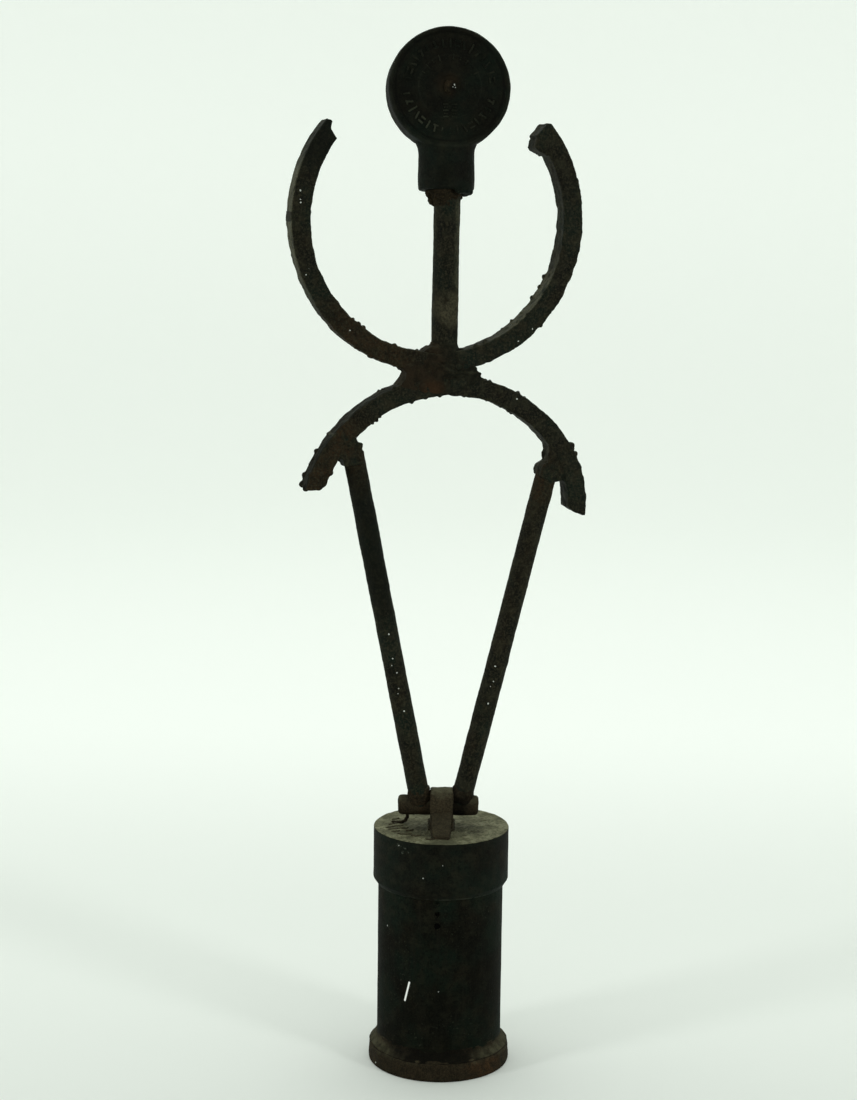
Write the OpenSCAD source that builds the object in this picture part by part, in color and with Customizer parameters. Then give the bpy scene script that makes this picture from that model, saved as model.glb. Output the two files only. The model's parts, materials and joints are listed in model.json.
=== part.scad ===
// Standing figure welded from scrap iron on a screw-capped pipe base.
// Millimetres. Origin: pipe axis at ground level. +Z up, the figure's flat bars lie in the XZ plane, front is -Y.

/* [Pipe base] */
// Outside diameter of the pipe
pipe_od = 73; // [60:0.5:90]
// Wall thickness of the pipe
pipe_wall = 5.2; // [4.5:0.1:8]
// Height of the pipe's top rim above the ground
pipe_h = 133.4; // [110:0.1:180]
// Length of the thread at the top of the pipe
thread_len = 21.4; // [16:0.1:30]
// Depth of the thread, on the radius
thread_depth = 1.3; // [0.8:0.1:1.6]
// Width of the foot ring, on the radius
foot_w = 4.9; // [3:0.1:15]
// Height of the foot ring
foot_h = 12; // [6:0.1:20]
// Height of the slope round the foot ring's top edge
foot_slope = 3; // [1:0.1:5]
// Height of the weld fillet above the foot ring
foot_weld_h = 5.5; // [2:0.1:8]

/* [Screw cap] */
// Step from the pipe's side out to the cap's, on the radius
cap_step = 2.9; // [2:0.1:10]
// Thickness of the cap's flat top
cap_top = 6; // [4:0.1:12]
// Overall height of the cap
cap_h = 36.9; // [34:0.1:50]
// Height of the taper at the cap's lower edge
cap_taper = 6; // [2:0.1:8]
// Thickness of the sealing ring under the cap's top
seal_t = 2; // [1:0.1:4]
// Radial clearance between the two threads
thread_gap = 0.08; // [0.02:0.01:0.1]
// Radial clearance between the cap's mouth and the pipe
mouth_gap = 0.3; // [0.2:0.05:0.6]

/* [Small holes under the cap] */
// Bearing of the row of small holes, from +X
holes_bearing = -109; // [-180:1:180]
// Diameter of the upper hole in the pipe
upper_hole_d = 2.2; // [1:0.1:5]
// Diameter of the lower hole in the pipe
lower_hole_d = 3.2; // [1:0.1:5]
// Distance from the cap's lower edge down to the upper hole
upper_hole_drop = 5.5; // [3:0.1:12]
// Distance from the upper hole down to the lower hole
hole_pitch = 7; // [5:0.1:12]
// Depth of the holes
hole_depth = 2.5; // [1:0.1:4]

/* [Lug and tommy bar] */
// Turn of the lug and the bar about the pipe's axis, from the figure's plane
lug_turn = -16; // [-45:1:45]
// Width of the lug's eye, along the bar
eye_w = 13.8; // [10:0.1:20]
// Outside radius of the lug's eye
eye_r = 10.5; // [9:0.1:14]
// Width of the rib in front of the eye
rib_w = 10; // [6:0.1:13]
// Reach of the rib's foot in front of the bar's axis
rib_reach = 30.4; // [18:0.1:34]
// Height of the blunt nose at the rib's foot
rib_nose = 2.5; // [1:0.1:4]
// Leg of the fillet weld round the lug's foot
lug_weld_leg = 2.6; // [1:0.1:4]
// Diameter of the tommy bar
bar_d = 11.8; // [8:0.1:14]
// Length of the tommy bar
bar_l = 47; // [40:0.5:60]
// Middle of the bar, from the pipe's axis
bar_shift = -2; // [-5:0.5:5]
// Height of the bar's axis above the cap
bar_rise = 12.1; // [10:0.1:20]
// Chamfer at the bar's ends
bar_chamfer = 2; // [0.5:0.1:3]
// Radial clearance of the bar in the eye
eye_gap = 0.1; // [0.05:0.01:0.3]

/* [Legs] */
// Diameter of the legs
leg_d = 11.9; // [8:0.1:14]
// Place of the left leg's foot along the bar
left_foot = -12.6; // [-18:0.1:-12]
// Place of the right leg's foot along the bar
right_foot = 11.2; // [10.5:0.1:16]
// Angle on the hip arch where the left leg ends, from +X
left_hip_angle = 140.8; // [130:0.1:150]
// Angle on the hip arch where the right leg ends
right_hip_angle = 28.7; // [20:0.1:50]
// Distance from the legs' tops to the inside of the arch
leg_hip_gap = 6.3; // [6:0.1:10]
// Radius of the welds at the feet of the legs
ankle_r = 8; // [7:0.1:10]
// Length of those welds up the legs
ankle_h = 9; // [7:0.1:14]

/* [Hips] */
// Inside radius of the hip arch
hip_ri = 75.7; // [60:0.5:90]
// Middle of the arch, from the pipe's axis
hip_x = -0.5; // [-5:0.5:5]
// Height of the arch's centre above the cap
hip_rise = 175.9; // [150:0.1:200]
// Angle of the arch's right end, from +X
hip_right_end = 4.5; // [0:0.5:20]
// Angle of the arch's left end, from +X
hip_left_end = 162.5; // [150:0.5:178]
// Shift of the hip welds from the legs' tops towards the arch
hip_weld_shift = 5; // [2:0.5:8]
// Radius of the welds at the hips
hip_weld_r = 9.5; // [8:0.1:16]

/* [Arms] */
// Thickness of the flat bar, on the radius
strap_t = 11; // [8:0.1:14]
// Depth of the flat bar, front to back
strap_w = 15; // [12:0.1:20]
// Chamfer along the flat bar's edges
strap_chamfer = 0.8; // [0.2:0.1:2]
// Inside radius of the arms' ring
arm_ri = 73.1; // [60:0.5:85]
// Middle of the ring, from the pipe's axis
arm_x = -7.8; // [-12:0.1:5]
// Gap between the arch's crown and the bottom of the ring
hub_gap = 2.2; // [1:0.1:5]
// Angle of the left hand, from +X
left_hand = 139; // [120:0.5:150]
// Angle of the left elbow
left_elbow = 179; // [165:0.5:200]
// Angle of the right elbow
right_elbow = 10; // [-10:0.5:20]
// Angle of the right hand
right_hand = 41; // [30:0.5:60]
// Gap left for the weld at each elbow, along the ring
elbow_gap = 2; // [1:0.1:4]
// Height of the elbow welds above the bar's faces
elbow_bead = 0.9; // [0.5:0.1:1.5]
// Length of the elbow welds along the ring
elbow_len = 7; // [5:0.1:10]

/* [Hub weld] */
// Left edge of the weld between the arms and the hips
hub_left = -26; // [-32:0.5:-18]
// Right edge of that weld
hub_right = 17; // [12:0.5:25]
// Set-back of the hub weld from the bar's faces
hub_inset = 0.5; // [0.2:0.1:1.5]

/* [Torso] */
// Diameter of the torso rod
torso_d = 14.8; // [10:0.1:16]
// Place of the torso rod
torso_x = -2; // [-8:0.1:5]
// Bare height of the torso rod, from the ring up to the head
torso_h = 89; // [70:0.5:120]
// Radius of the weld at the torso's foot
torso_weld_r = 11.5; // [10:0.1:14]
// Height of the welds at the torso's foot and at the neck
torso_weld_h = 6; // [3:0.1:8]

/* [Head] */
// Radius of the head's disc
head_r = 33.5; // [28:0.1:45]
// Thickness of the disc
head_t = 21; // [16:0.1:30]
// Rounding of the disc's edges
head_round = 2.5; // [1:0.1:5]
// Diameter of the socket under the disc
socket_d = 31.4; // [26:0.5:36]
// Height of the socket below the disc
socket_h = 23; // [16:0.1:40]
// Depth of the rod's hole in the socket
socket_hole = 18; // [10:0.1:22]
// Radial clearance of the rod in the socket
socket_gap = 0.1; // [0.05:0.01:0.3]
// Turn of the head about the rod
head_turn = -9; // [-30:1:30]
// Backward lean of the head
head_lean = 5.5; // [0:0.5:10]
// Sideways place of the disc from the rod
head_shift = 0.4; // [-3:0.1:3]
// Width of the rim round the face
rim_w = 3; // [2:0.1:6]
// Depth of the face behind the rim
face_depth = 1.2; // [0.5:0.1:2]
// Radius of the ring of plain marks
marks_r = 24; // [18:0.5:27]
// Number of places for marks round the ring
marks_n = 32; // [16:1:40]
// Length of a mark, on the radius
mark_l = 4.5; // [2:0.1:6]
// Width of a mark
mark_w = 1.6; // [1:0.1:2.5]
// Height of the marks above the face
mark_h = 0.8; // [0.4:0.1:1.1]
// Radius of the screw in the middle of the face
screw_r = 3.6; // [2:0.1:6]
// Length of the screw below the face
screw_l = 8; // [4:0.1:14]
// Height of the screw's head above the face
screw_head = 1.6; // [0.5:0.1:3]

/* [Hidden] */
$fn = 96;
fine = 360;
iron = [0.15, 0.16, 0.14];
rust = [0.29, 0.20, 0.14];
dust = [0.52, 0.53, 0.45];
eps = 0.5;

pipe_r = pipe_od / 2;
bore_r = pipe_r - pipe_wall;
thread_r = pipe_r - thread_depth;
thread_z = pipe_h - thread_len;
cap_r = pipe_r + cap_step;
cap_z = pipe_h + seal_t + cap_top;
cap_lip_z = cap_z - cap_h;
foot_r = pipe_r + foot_w;
bar_z = cap_z + bar_rise;
bar_r = bar_d / 2;

left_base = [left_foot * cos(lug_turn), left_foot * sin(lug_turn), bar_z];
right_base = [right_foot * cos(lug_turn), right_foot * sin(lug_turn), bar_z];

hip_z = cap_z + hip_rise;
hip_ro = hip_ri + strap_t;
leg_top_r = hip_ri - leg_hip_gap;
left_top = [hip_x + leg_top_r * cos(left_hip_angle), 0, hip_z + leg_top_r * sin(left_hip_angle)];
right_top = [hip_x + leg_top_r * cos(right_hip_angle), 0, hip_z + leg_top_r * sin(right_hip_angle)];
arm_ro = arm_ri + strap_t;
arm_z = hip_z + hip_ro + hub_gap + arm_ro;
torso_z = arm_z - arm_ri;
neck_z = torso_z + torso_h;
head_z = neck_z + socket_h + head_r;
face_y = -head_t / 2 + face_depth;
face_r = head_r - rim_w;

// The length of a straight line between two points
function reach(a, b) = norm(b - a);

// A round bar from one point to another, run on past both by extra
module rod(a, b, d, extra = 0) {
    run = b - a;
    translate(a)
        rotate([0, acos(run.z / norm(run)), atan2(run.y, run.x)])
            translate([0, 0, -extra])
                cylinder(h = norm(run) + 2 * extra, d = d);
}

// The flat bar's section, with its edges broken
module strap_section(t, w, c) {
    polygon([
        [-t / 2 + c, -w / 2], [t / 2 - c, -w / 2], [t / 2, -w / 2 + c], [t / 2, w / 2 - c],
        [t / 2 - c, w / 2], [-t / 2 + c, w / 2], [-t / 2, w / 2 - c], [-t / 2, -w / 2 + c]
    ]);
}

// A flat bar bent on edge in the XZ plane, between two angles from +X
module strap_arc(ri, a0, a1, grow = 0) {
    rotate([90, 0, 0])
        rotate([0, 0, a0])
            rotate_extrude(angle = a1 - a0)
                translate([ri + strap_t / 2, 0])
                    strap_section(strap_t + 2 * grow, strap_w + 2 * grow, strap_chamfer);
}

module on_hips() {
    translate([hip_x, 0, hip_z]) children();
}

module on_arms() {
    translate([arm_x, 0, arm_z]) children();
}

module on_lug() {
    rotate([0, 0, lug_turn]) children();
}

// The head's own frame: its disc's centre, facing -Y
module on_head() {
    translate([torso_x, 0, neck_z])
        rotate([0, 0, head_turn])
            rotate([-head_lean, 0, 0])
                translate([head_shift, 0, head_z - neck_z])
                    children();
}

module base_tube() {
    color(iron)
        difference() {
            union() {
                cylinder(h = thread_z, r = pipe_r);
                cylinder(h = pipe_h, r = thread_r);
            }
            translate([0, 0, -eps]) cylinder(h = pipe_h + 2 * eps, r = bore_r);
            small_hole(cap_lip_z - upper_hole_drop, upper_hole_d);
            small_hole(cap_lip_z - upper_hole_drop - hole_pitch, lower_hole_d);
        }
}

// A shallow drilled hole in the pipe's outside, at a height
module small_hole(z, d) {
    rotate([0, 0, holes_bearing])
        translate([pipe_r - hole_depth, 0, z])
            rotate([0, 90, 0])
                cylinder(h = hole_depth + eps, d = d);
}

module foot_ring() {
    color(rust)
        rotate_extrude()
            polygon([
                [pipe_r, 0], [foot_r - 1, 0], [foot_r, 1], [foot_r, foot_h - foot_slope],
                [foot_r - foot_slope / 2, foot_h], [pipe_r, foot_h]
            ]);
}

module foot_weld() {
    color(dust)
        rotate_extrude()
            polygon([
                [pipe_r, foot_h], [foot_r - foot_slope / 2, foot_h],
                [pipe_r + 1.2, foot_h + foot_weld_h / 3], [pipe_r, foot_h + foot_weld_h]
            ]);
}

module seal_ring() {
    color([0.32, 0.27, 0.2])
        translate([0, 0, pipe_h])
            difference() {
                cylinder(h = seal_t, r = thread_r - mouth_gap);
                translate([0, 0, -eps]) cylinder(h = seal_t + 2 * eps, r = bore_r);
            }
}

module screw_cap() {
    color(iron)
        difference() {
            union() {
                translate([0, 0, cap_lip_z + cap_taper])
                    cylinder(h = cap_h - cap_taper, r = cap_r);
                translate([0, 0, cap_lip_z])
                    cylinder(h = cap_taper, r1 = pipe_r + 2 * mouth_gap, r2 = cap_r);
            }
            translate([0, 0, cap_lip_z - eps])
                cylinder(h = cap_h - cap_top + eps, r = thread_r + thread_gap);
            translate([0, 0, cap_lip_z - eps])
                cylinder(h = thread_z - cap_lip_z + mouth_gap + eps, r = pipe_r + mouth_gap);
        }
}

// The lug's eye without its hole
module eye_blank() {
    on_lug() {
        translate([-eye_w / 2, 0, bar_z])
            rotate([0, 90, 0])
                cylinder(h = eye_w, r = eye_r);
        translate([-eye_w / 2, -eye_r, cap_z])
            cube([eye_w, 2 * eye_r, bar_rise]);
    }
}

module bar_envelope(gap) {
    on_lug()
        translate([bar_shift - bar_l / 2, 0, bar_z])
            rotate([0, 90, 0])
                cylinder(h = bar_l, r = bar_r + gap);
}

module lug_eye() {
    color(rust)
        difference() {
            eye_blank();
            bar_envelope(eye_gap);
        }
}

module rib_blank() {
    on_lug()
        translate([-rib_w / 2, 0, 0])
            rotate([90, 0, 90])
                linear_extrude(rib_w)
                    polygon([
                        [-rib_reach, cap_z], [-rib_reach + rib_nose / 2, cap_z + rib_nose],
                        [-eye_r - rib_nose / 2, bar_z], [-eye_r, bar_z], [-eye_r, cap_z]
                    ]);
}

module lug_rib() {
    color(rust) rib_blank();
}

module lug_weld() {
    side = eye_w + 2 * lug_weld_leg;
    color(rust)
        difference() {
            on_lug()
                translate([-side / 2, -eye_r - lug_weld_leg, cap_z])
                    cube([side, 2 * (eye_r + lug_weld_leg), lug_weld_leg]);
            eye_blank();
            rib_blank();
        }
}

module tommy_bar() {
    straight = bar_l - 2 * bar_chamfer;
    color(rust)
        on_lug()
            translate([bar_shift - bar_l / 2, 0, bar_z])
                rotate([0, 90, 0]) {
                    cylinder(h = bar_chamfer, r1 = bar_r - bar_chamfer, r2 = bar_r);
                    translate([0, 0, bar_chamfer]) cylinder(h = straight, r = bar_r);
                    translate([0, 0, bar_l - bar_chamfer])
                        cylinder(h = bar_chamfer, r1 = bar_r, r2 = bar_r - bar_chamfer);
                }
}

// A leg coped over the tommy bar
module leg(base, top) {
    color(iron)
        difference() {
            rod(base, top, leg_d);
            bar_envelope(0);
            eye_blank();
            strap_hips();
        }
}

module left_leg() {
    leg(left_base, left_top);
}

module right_leg() {
    leg(right_base, right_top);
}

// The weld bead round a leg's foot
module ankle_weld(base, top) {
    run = reach(base, top);
    color(rust)
        difference() {
            rod(base, base + (top - base) * (ankle_h / run), 2 * ankle_r);
            rod(base, top, leg_d, leg_d);
            bar_envelope(0);
            eye_blank();
        }
}

module left_ankle_weld() {
    ankle_weld(left_base, left_top);
}

module right_ankle_weld() {
    ankle_weld(right_base, right_top);
}

module strap_hips() {
    on_hips() strap_arc(hip_ri, hip_right_end, hip_left_end);
}

module hip_arch() {
    color(iron) strap_hips();
}

// The weld between a leg's top and the underside of the arch
module hip_weld(base, top) {
    out = [top.x - hip_x, 0, top.z - hip_z];
    place = top + out * (hip_weld_shift / norm(out));
    color(rust)
        difference() {
            intersection() {
                translate([place.x, strap_w / 2 - hub_inset, place.z])
                    rotate([90, 0, 0])
                        cylinder(h = strap_w - 2 * hub_inset, r = hip_weld_r);
                on_hips() through_disc(hip_ri);
            }
            rod(base, top, leg_d);
        }
}

module left_hip_weld() {
    hip_weld(left_base, left_top);
}

module right_hip_weld() {
    hip_weld(right_base, right_top);
}

module hub_weld() {
    low = hip_z + hip_ri + strap_t / 2;
    high = arm_z - arm_ri - strap_t / 2;
    color(rust)
        difference() {
            translate([hub_left, -strap_w / 2 + hub_inset, low])
                cube([hub_right - hub_left, strap_w - 2 * hub_inset, high - low]);
            on_hips() through_disc(hip_ro);
            on_arms() through_disc(arm_ro);
        }
}

// A cylinder that passes right through the flat bar's depth
module through_disc(r) {
    rotate([90, 0, 0])
        translate([0, 0, -strap_w])
            cylinder(h = 2 * strap_w, r = r, $fn = fine);
}

elbow_half = elbow_gap / 2 / arm_ri * 180 / PI;
bead_half = elbow_len / 2 / arm_ri * 180 / PI;

module strap_lower_arms() {
    on_arms() strap_arc(arm_ri, left_elbow + elbow_half, 360 + right_elbow - elbow_half);
}

module lower_arms() {
    color(iron) strap_lower_arms();
}

module left_forearm() {
    color(iron) on_arms() strap_arc(arm_ri, left_hand, left_elbow - elbow_half);
}

module right_forearm() {
    color(iron) on_arms() strap_arc(arm_ri, right_elbow + elbow_half, right_hand);
}

// The weld that joins two lengths of flat bar at an elbow
module elbow_weld(angle) {
    color(rust)
        on_arms()
            difference() {
                strap_arc(arm_ri, angle - bead_half, angle + bead_half, elbow_bead);
                strap_arc(arm_ri, angle - 2 * bead_half, angle - elbow_half);
                strap_arc(arm_ri, angle + elbow_half, angle + 2 * bead_half);
            }
}

module left_elbow_weld() {
    elbow_weld(left_elbow);
}

module right_elbow_weld() {
    elbow_weld(right_elbow);
}

// The rod's full length, from inside the ring's bar to the bottom of the socket's hole
module rod_envelope(gap) {
    translate([torso_x, 0, torso_z])
        cylinder(h = torso_h + socket_hole, r = torso_d / 2 + gap);
}

module torso_rod() {
    color(iron)
        difference() {
            rod_envelope(0);
            strap_lower_arms();
        }
}

module torso_weld() {
    color(rust)
        difference() {
            translate([torso_x, 0, torso_z - 1])
                cylinder(h = torso_weld_h, r1 = torso_weld_r, r2 = torso_d / 2 + 0.8);
            translate([0, 0, -torso_weld_h]) rod_envelope(0);
            rod_envelope(0);
            strap_lower_arms();
        }
}

module neck_weld() {
    color(rust)
        difference() {
            translate([torso_x, 0, neck_z - torso_weld_h])
                cylinder(h = torso_weld_h + eps, r1 = torso_d / 2 + 0.8, r2 = torso_weld_r);
            rod_envelope(0);
            socket_blank();
        }
}

// The socket without its hole
module socket_blank() {
    translate([torso_x, 0, neck_z])
        rotate([0, 0, head_turn])
            rotate([-head_lean, 0, 0])
                cylinder(h = socket_h + head_r / 2, d = socket_d);
}

module head_casting() {
    color(iron)
        difference() {
            union() {
                on_head()
                    rotate([-90, 0, 0])
                        translate([0, 0, -head_t / 2])
                            rounded_disc(head_r, head_t, head_round);
                socket_blank();
            }
            on_head()
                rotate([90, 0, 0])
                    translate([0, 0, -face_y])
                        cylinder(h = head_t, r = face_r);
            rod_envelope(socket_gap);
            screw_body();
        }
}

// A disc about +Z with rounded edges
module rounded_disc(r, t, round) {
    rotate_extrude()
        difference() {
            square([r, t]);
            edge_notch(r, 0, round, 1);
            edge_notch(r, t, round, -1);
        }
}

// What is cut away outside a quarter round at a corner of a disc's section
module edge_notch(r, y, round, side) {
    difference() {
        translate([r - round, side > 0 ? y : y - round]) square([round + eps, round]);
        translate([r - round, y + side * round]) circle(r = round);
    }
}

module screw_body() {
    on_head()
        translate([0, face_y + screw_l, 0])
            rotate([90, 0, 0])
                cylinder(h = screw_l + screw_head, r = screw_r);
}

module head_screw() {
    color(rust) screw_body();
}

module face_marks() {
    color(iron)
        on_head()
            for (i = [0 : marks_n - 1])
                if (i % 4 != 3)
                    rotate([0, i * 360 / marks_n, 0])
                        translate([-mark_w / 2, face_y - mark_h, marks_r - mark_l / 2])
                            cube([mark_w, mark_h, mark_l]);
}

base_tube();
foot_ring();
foot_weld();
seal_ring();
screw_cap();
lug_eye();
lug_rib();
lug_weld();
tommy_bar();
left_leg();
right_leg();
left_ankle_weld();
right_ankle_weld();
hip_arch();
left_hip_weld();
right_hip_weld();
hub_weld();
lower_arms();
left_forearm();
right_forearm();
left_elbow_weld();
right_elbow_weld();
torso_rod();
torso_weld();
neck_weld();
head_casting();
face_marks();
head_screw();
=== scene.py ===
import json
from math import atan2, cos, degrees, pi, radians, sin, tau

import bmesh
import bpy
import numpy as np
from mathutils import Matrix, Vector


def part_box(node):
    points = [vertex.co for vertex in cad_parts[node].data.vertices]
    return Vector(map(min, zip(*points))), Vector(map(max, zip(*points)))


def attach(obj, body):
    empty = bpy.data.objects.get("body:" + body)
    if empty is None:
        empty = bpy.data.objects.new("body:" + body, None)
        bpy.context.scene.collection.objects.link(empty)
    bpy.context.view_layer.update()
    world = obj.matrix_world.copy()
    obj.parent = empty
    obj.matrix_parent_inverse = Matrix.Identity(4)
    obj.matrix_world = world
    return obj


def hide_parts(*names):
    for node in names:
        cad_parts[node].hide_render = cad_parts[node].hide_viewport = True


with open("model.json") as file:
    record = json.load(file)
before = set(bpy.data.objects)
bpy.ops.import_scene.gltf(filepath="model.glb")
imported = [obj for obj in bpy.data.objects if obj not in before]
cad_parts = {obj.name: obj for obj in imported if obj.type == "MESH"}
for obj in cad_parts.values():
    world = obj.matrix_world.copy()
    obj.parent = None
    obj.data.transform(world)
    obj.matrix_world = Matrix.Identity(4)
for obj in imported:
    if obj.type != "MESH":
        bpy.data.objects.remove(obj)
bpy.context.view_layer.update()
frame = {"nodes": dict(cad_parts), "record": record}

mm = 0.001


def at(x, y, z):
    """A point, or three sizes, given in millimetres."""
    return (x * mm, y * mm, z * mm)


# ---------------------------------------------------------------- what the frame says

def cad_points(node):
    """A CAD node's vertices as an array."""
    mesh = frame["nodes"][node].data
    flat = np.empty(len(mesh.vertices) * 3)
    mesh.vertices.foreach_get("co", flat)
    return flat.reshape(-1, 3)


def across(axis):
    """Two directions at right angles to an axis and to each other."""
    helper = np.array([0.0, 1.0, 0.0]) if abs(axis[1]) < 0.9 else np.array([1.0, 0.0, 0.0])
    first = np.cross(helper, axis)
    first /= np.linalg.norm(first)
    return first, np.cross(axis, first)


def rod_of(node):
    """Start, end and radius of a round bar, from the way its sides face."""
    mesh = frame["nodes"][node].data
    facing = np.empty(len(mesh.polygons) * 3)
    area = np.empty(len(mesh.polygons))
    mesh.polygons.foreach_get("normal", facing)
    mesh.polygons.foreach_get("area", area)
    facing = facing.reshape(-1, 3)
    axis = np.linalg.eigh((facing * area[:, None]).T @ facing)[1][:, 0]
    if axis[np.abs(axis).argmax()] < 0:
        axis = -axis
    points = cad_points(node)
    middle = np.zeros(3)
    for side in across(axis):
        reach = points @ side
        middle += side * (reach.min() + reach.max()) / 2
        radius = (reach.max() - reach.min()) / 2
    along = points @ axis
    return middle + axis * along.min(), middle + axis * along.max(), radius


def ring_of(node):
    """Centre, inside radius and outside radius of a flat bar bent on edge in the XZ plane."""
    flat = cad_points(node)[:, [0, 2]]
    chosen = flat
    for _ in range(4):
        system = np.c_[2 * chosen, np.ones(len(chosen))]
        centre = np.linalg.lstsq(system, (chosen ** 2).sum(1), rcond=None)[0][:2]
        reach = np.linalg.norm(flat - centre, axis=1)
        chosen = flat[reach > reach.mean()]
    return centre, reach.min(), reach.max()


def span_of(node, centre):
    """First and last angle of a bent bar about a centre, in radians from +X towards +Z."""
    away = cad_points(node)[:, [0, 2]] - centre
    middle = atan2(*away.mean(0)[::-1])
    turn = np.arctan2(away[:, 1], away[:, 0]) - middle
    turn = (turn + pi) % tau - pi
    return middle + turn.min(), middle + turn.max()


# ---------------------------------------------------------------- mesh making

def lumps(points, size, seed=0):
    """Smooth noise from -1 to 1 whose lumps are about the given size."""
    cell = points / size + seed * 17.31
    base = np.floor(cell).astype(np.int64)
    part = cell - base
    part = part * part * (3 - 2 * part)
    total = np.zeros(len(points))
    for corner in np.ndindex(2, 2, 2):
        mixed = (base + corner) @ np.array([374761393, 668265263, 2147483587])
        mixed = (mixed ^ (mixed >> 13)) * 1274126177
        value = ((mixed ^ (mixed >> 16)) & 0xFFFF) / 32767.5 - 1
        total += np.where(corner, part, 1 - part).prod(1) * value
    return total


def mesh_of(name, points, faces):
    mesh = bpy.data.meshes.new(name)
    mesh.from_pydata([tuple(p) for p in points], [], faces)
    mesh.update()
    return mesh


def roughen(mesh, layers, where=None):
    """Moves points along their normals by layers of noise: (size of lumps, height, seed), in millimetres."""
    count = len(mesh.vertices)
    points, normals = np.empty(count * 3), np.empty(count * 3)
    mesh.vertices.foreach_get("co", points)
    mesh.vertex_normals.foreach_get("vector", normals)
    points, normals = points.reshape(-1, 3), normals.reshape(-1, 3)
    shift = sum(height * mm * lumps(points, size * mm, seed) for size, height, seed in layers)
    if where is not None:
        shift = shift * where(points)
    points += normals * shift[:, None]
    mesh.vertices.foreach_set("co", points.ravel())
    mesh.update()
    return mesh


def loft(rows, closed=False):
    """Points and faces of a skin over rows of points. Each row closes on itself. An open one gets ends."""
    rows = np.asarray(rows)
    count, around = rows.shape[:2]
    points = rows.reshape(-1, 3)
    faces = []
    for i in range(count if closed else count - 1):
        here, there = i * around, (i + 1) % count * around
        for j in range(around):
            k = (j + 1) % around
            faces.append((here + j, here + k, there + k, there + j))
    if not closed:
        last = (count - 1) * around
        points = np.r_[points, [rows[0].mean(0)], [rows[-1].mean(0)]]
        start, end = len(points) - 2, len(points) - 1
        faces += [(start, (j + 1) % around, j) for j in range(around)]
        faces += [(end, last + j, last + (j + 1) % around) for j in range(around)]
    return points, faces


def soft_outline(corners, radius, step, closed=False):
    """A line through corners, with each corner rounded, and points no more than step apart."""
    corners = [np.array(c, float) for c in corners]
    count = len(corners)
    line = []
    for i, corner in enumerate(corners):
        if not closed and i in (0, count - 1):
            line.append(corner)
            continue
        before, after = corners[i - 1] - corner, corners[(i + 1) % count] - corner
        cut = min(radius, 0.45 * np.linalg.norm(before), 0.45 * np.linalg.norm(after))
        start = corner + before / np.linalg.norm(before) * cut
        end = corner + after / np.linalg.norm(after) * cut
        for t in np.linspace(0, 1, 5):
            line.append((1 - t) ** 2 * start + 2 * t * (1 - t) * corner + t * t * end)
    if closed:
        line.append(line[0])
    dense = []
    for a, b in zip(line, line[1:]):
        parts = max(1, int(np.ceil(np.linalg.norm(b - a) / step)))
        dense += [a + (b - a) * k / parts for k in range(parts)]
    if not closed:
        dense.append(line[-1])
    return np.array(dense)


def lathe(outline, around, closed=False):
    """Rows of points for an outline of (radius, height) turned about the Z axis, at the given angles."""
    rows = [np.c_[r * np.cos(around), r * np.sin(around), np.full(len(around), z)] for r, z in outline]
    return loft(rows, closed)


def evenly(count):
    return np.arange(count) * tau / count


def placed(obj):
    bpy.context.scene.collection.objects.link(obj)
    return obj


def fuse(name, solids, voxel, soften=2):
    """One skin round overlapping solids, each given as points and faces."""
    points, faces = [], []
    for solid_points, solid_faces in solids:
        start = len(points)
        points += [tuple(p) for p in solid_points]
        faces += [tuple(start + i for i in face) for face in solid_faces]
    rough = placed(bpy.data.objects.new(name + "_rough", mesh_of(name + "_rough", points, faces)))
    skin = rough.modifiers.new("skin", "REMESH")
    skin.mode = "VOXEL"
    skin.voxel_size = voxel
    smooth = rough.modifiers.new("smooth", "SMOOTH")
    smooth.iterations = soften
    whole = bpy.data.meshes.new_from_object(rough.evaluated_get(bpy.context.evaluated_depsgraph_get()))
    whole.name = name
    bpy.data.objects.remove(rough)
    return whole


def blob(centre, radii, turn=None):
    """A rounded lump: a sphere with a radius each way, turned by a matrix."""
    made = bmesh.new()
    bmesh.ops.create_icosphere(made, subdivisions=2, radius=1)
    points = np.array([v.co for v in made.verts]) * np.array(radii)
    faces = [tuple(v.index for v in f.verts) for f in made.faces]
    made.free()
    if turn is not None:
        points = points @ np.array(turn).T
    return points + np.array(centre), faces


def bar_solid(start, end, radius, sides=40):
    """A plain round bar between two points, to be fused."""
    start, end = np.array(start, float), np.array(end, float)
    axis = (end - start) / np.linalg.norm(end - start)
    u, v = across(axis)
    circle = evenly(sides)[:, None]
    ring = (np.cos(circle) * u + np.sin(circle) * v) * radius
    return loft([start + ring, end + ring])


def block(low, high, turn=None):
    """A plain block between two corners, to be fused."""
    points = np.array([[(low, high)[i][0], (low, high)[j][1], (low, high)[k][2]]
                       for i in (0, 1) for j in (0, 1) for k in (0, 1)])
    faces = [(0, 1, 3, 2), (4, 6, 7, 5), (0, 4, 5, 1), (2, 3, 7, 6), (0, 2, 6, 4), (1, 5, 7, 3)]
    if turn is not None:
        points = points @ np.array(turn).T
    return points, faces


def plate(outline, depth):
    """A flat slab cut to an outline of (x, z) in millimetres and centred on the XZ plane, to be fused."""
    front = [(x * mm, -depth / 2, z * mm) for x, z in outline]
    back = [(x * mm, depth / 2, z * mm) for x, z in outline]
    count = len(outline)
    faces = [tuple(range(count)), tuple(reversed(range(count, 2 * count)))]
    faces += [(i, i + count, (i + 1) % count + count, (i + 1) % count) for i in range(count)]
    return np.array(front + back), faces


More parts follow.
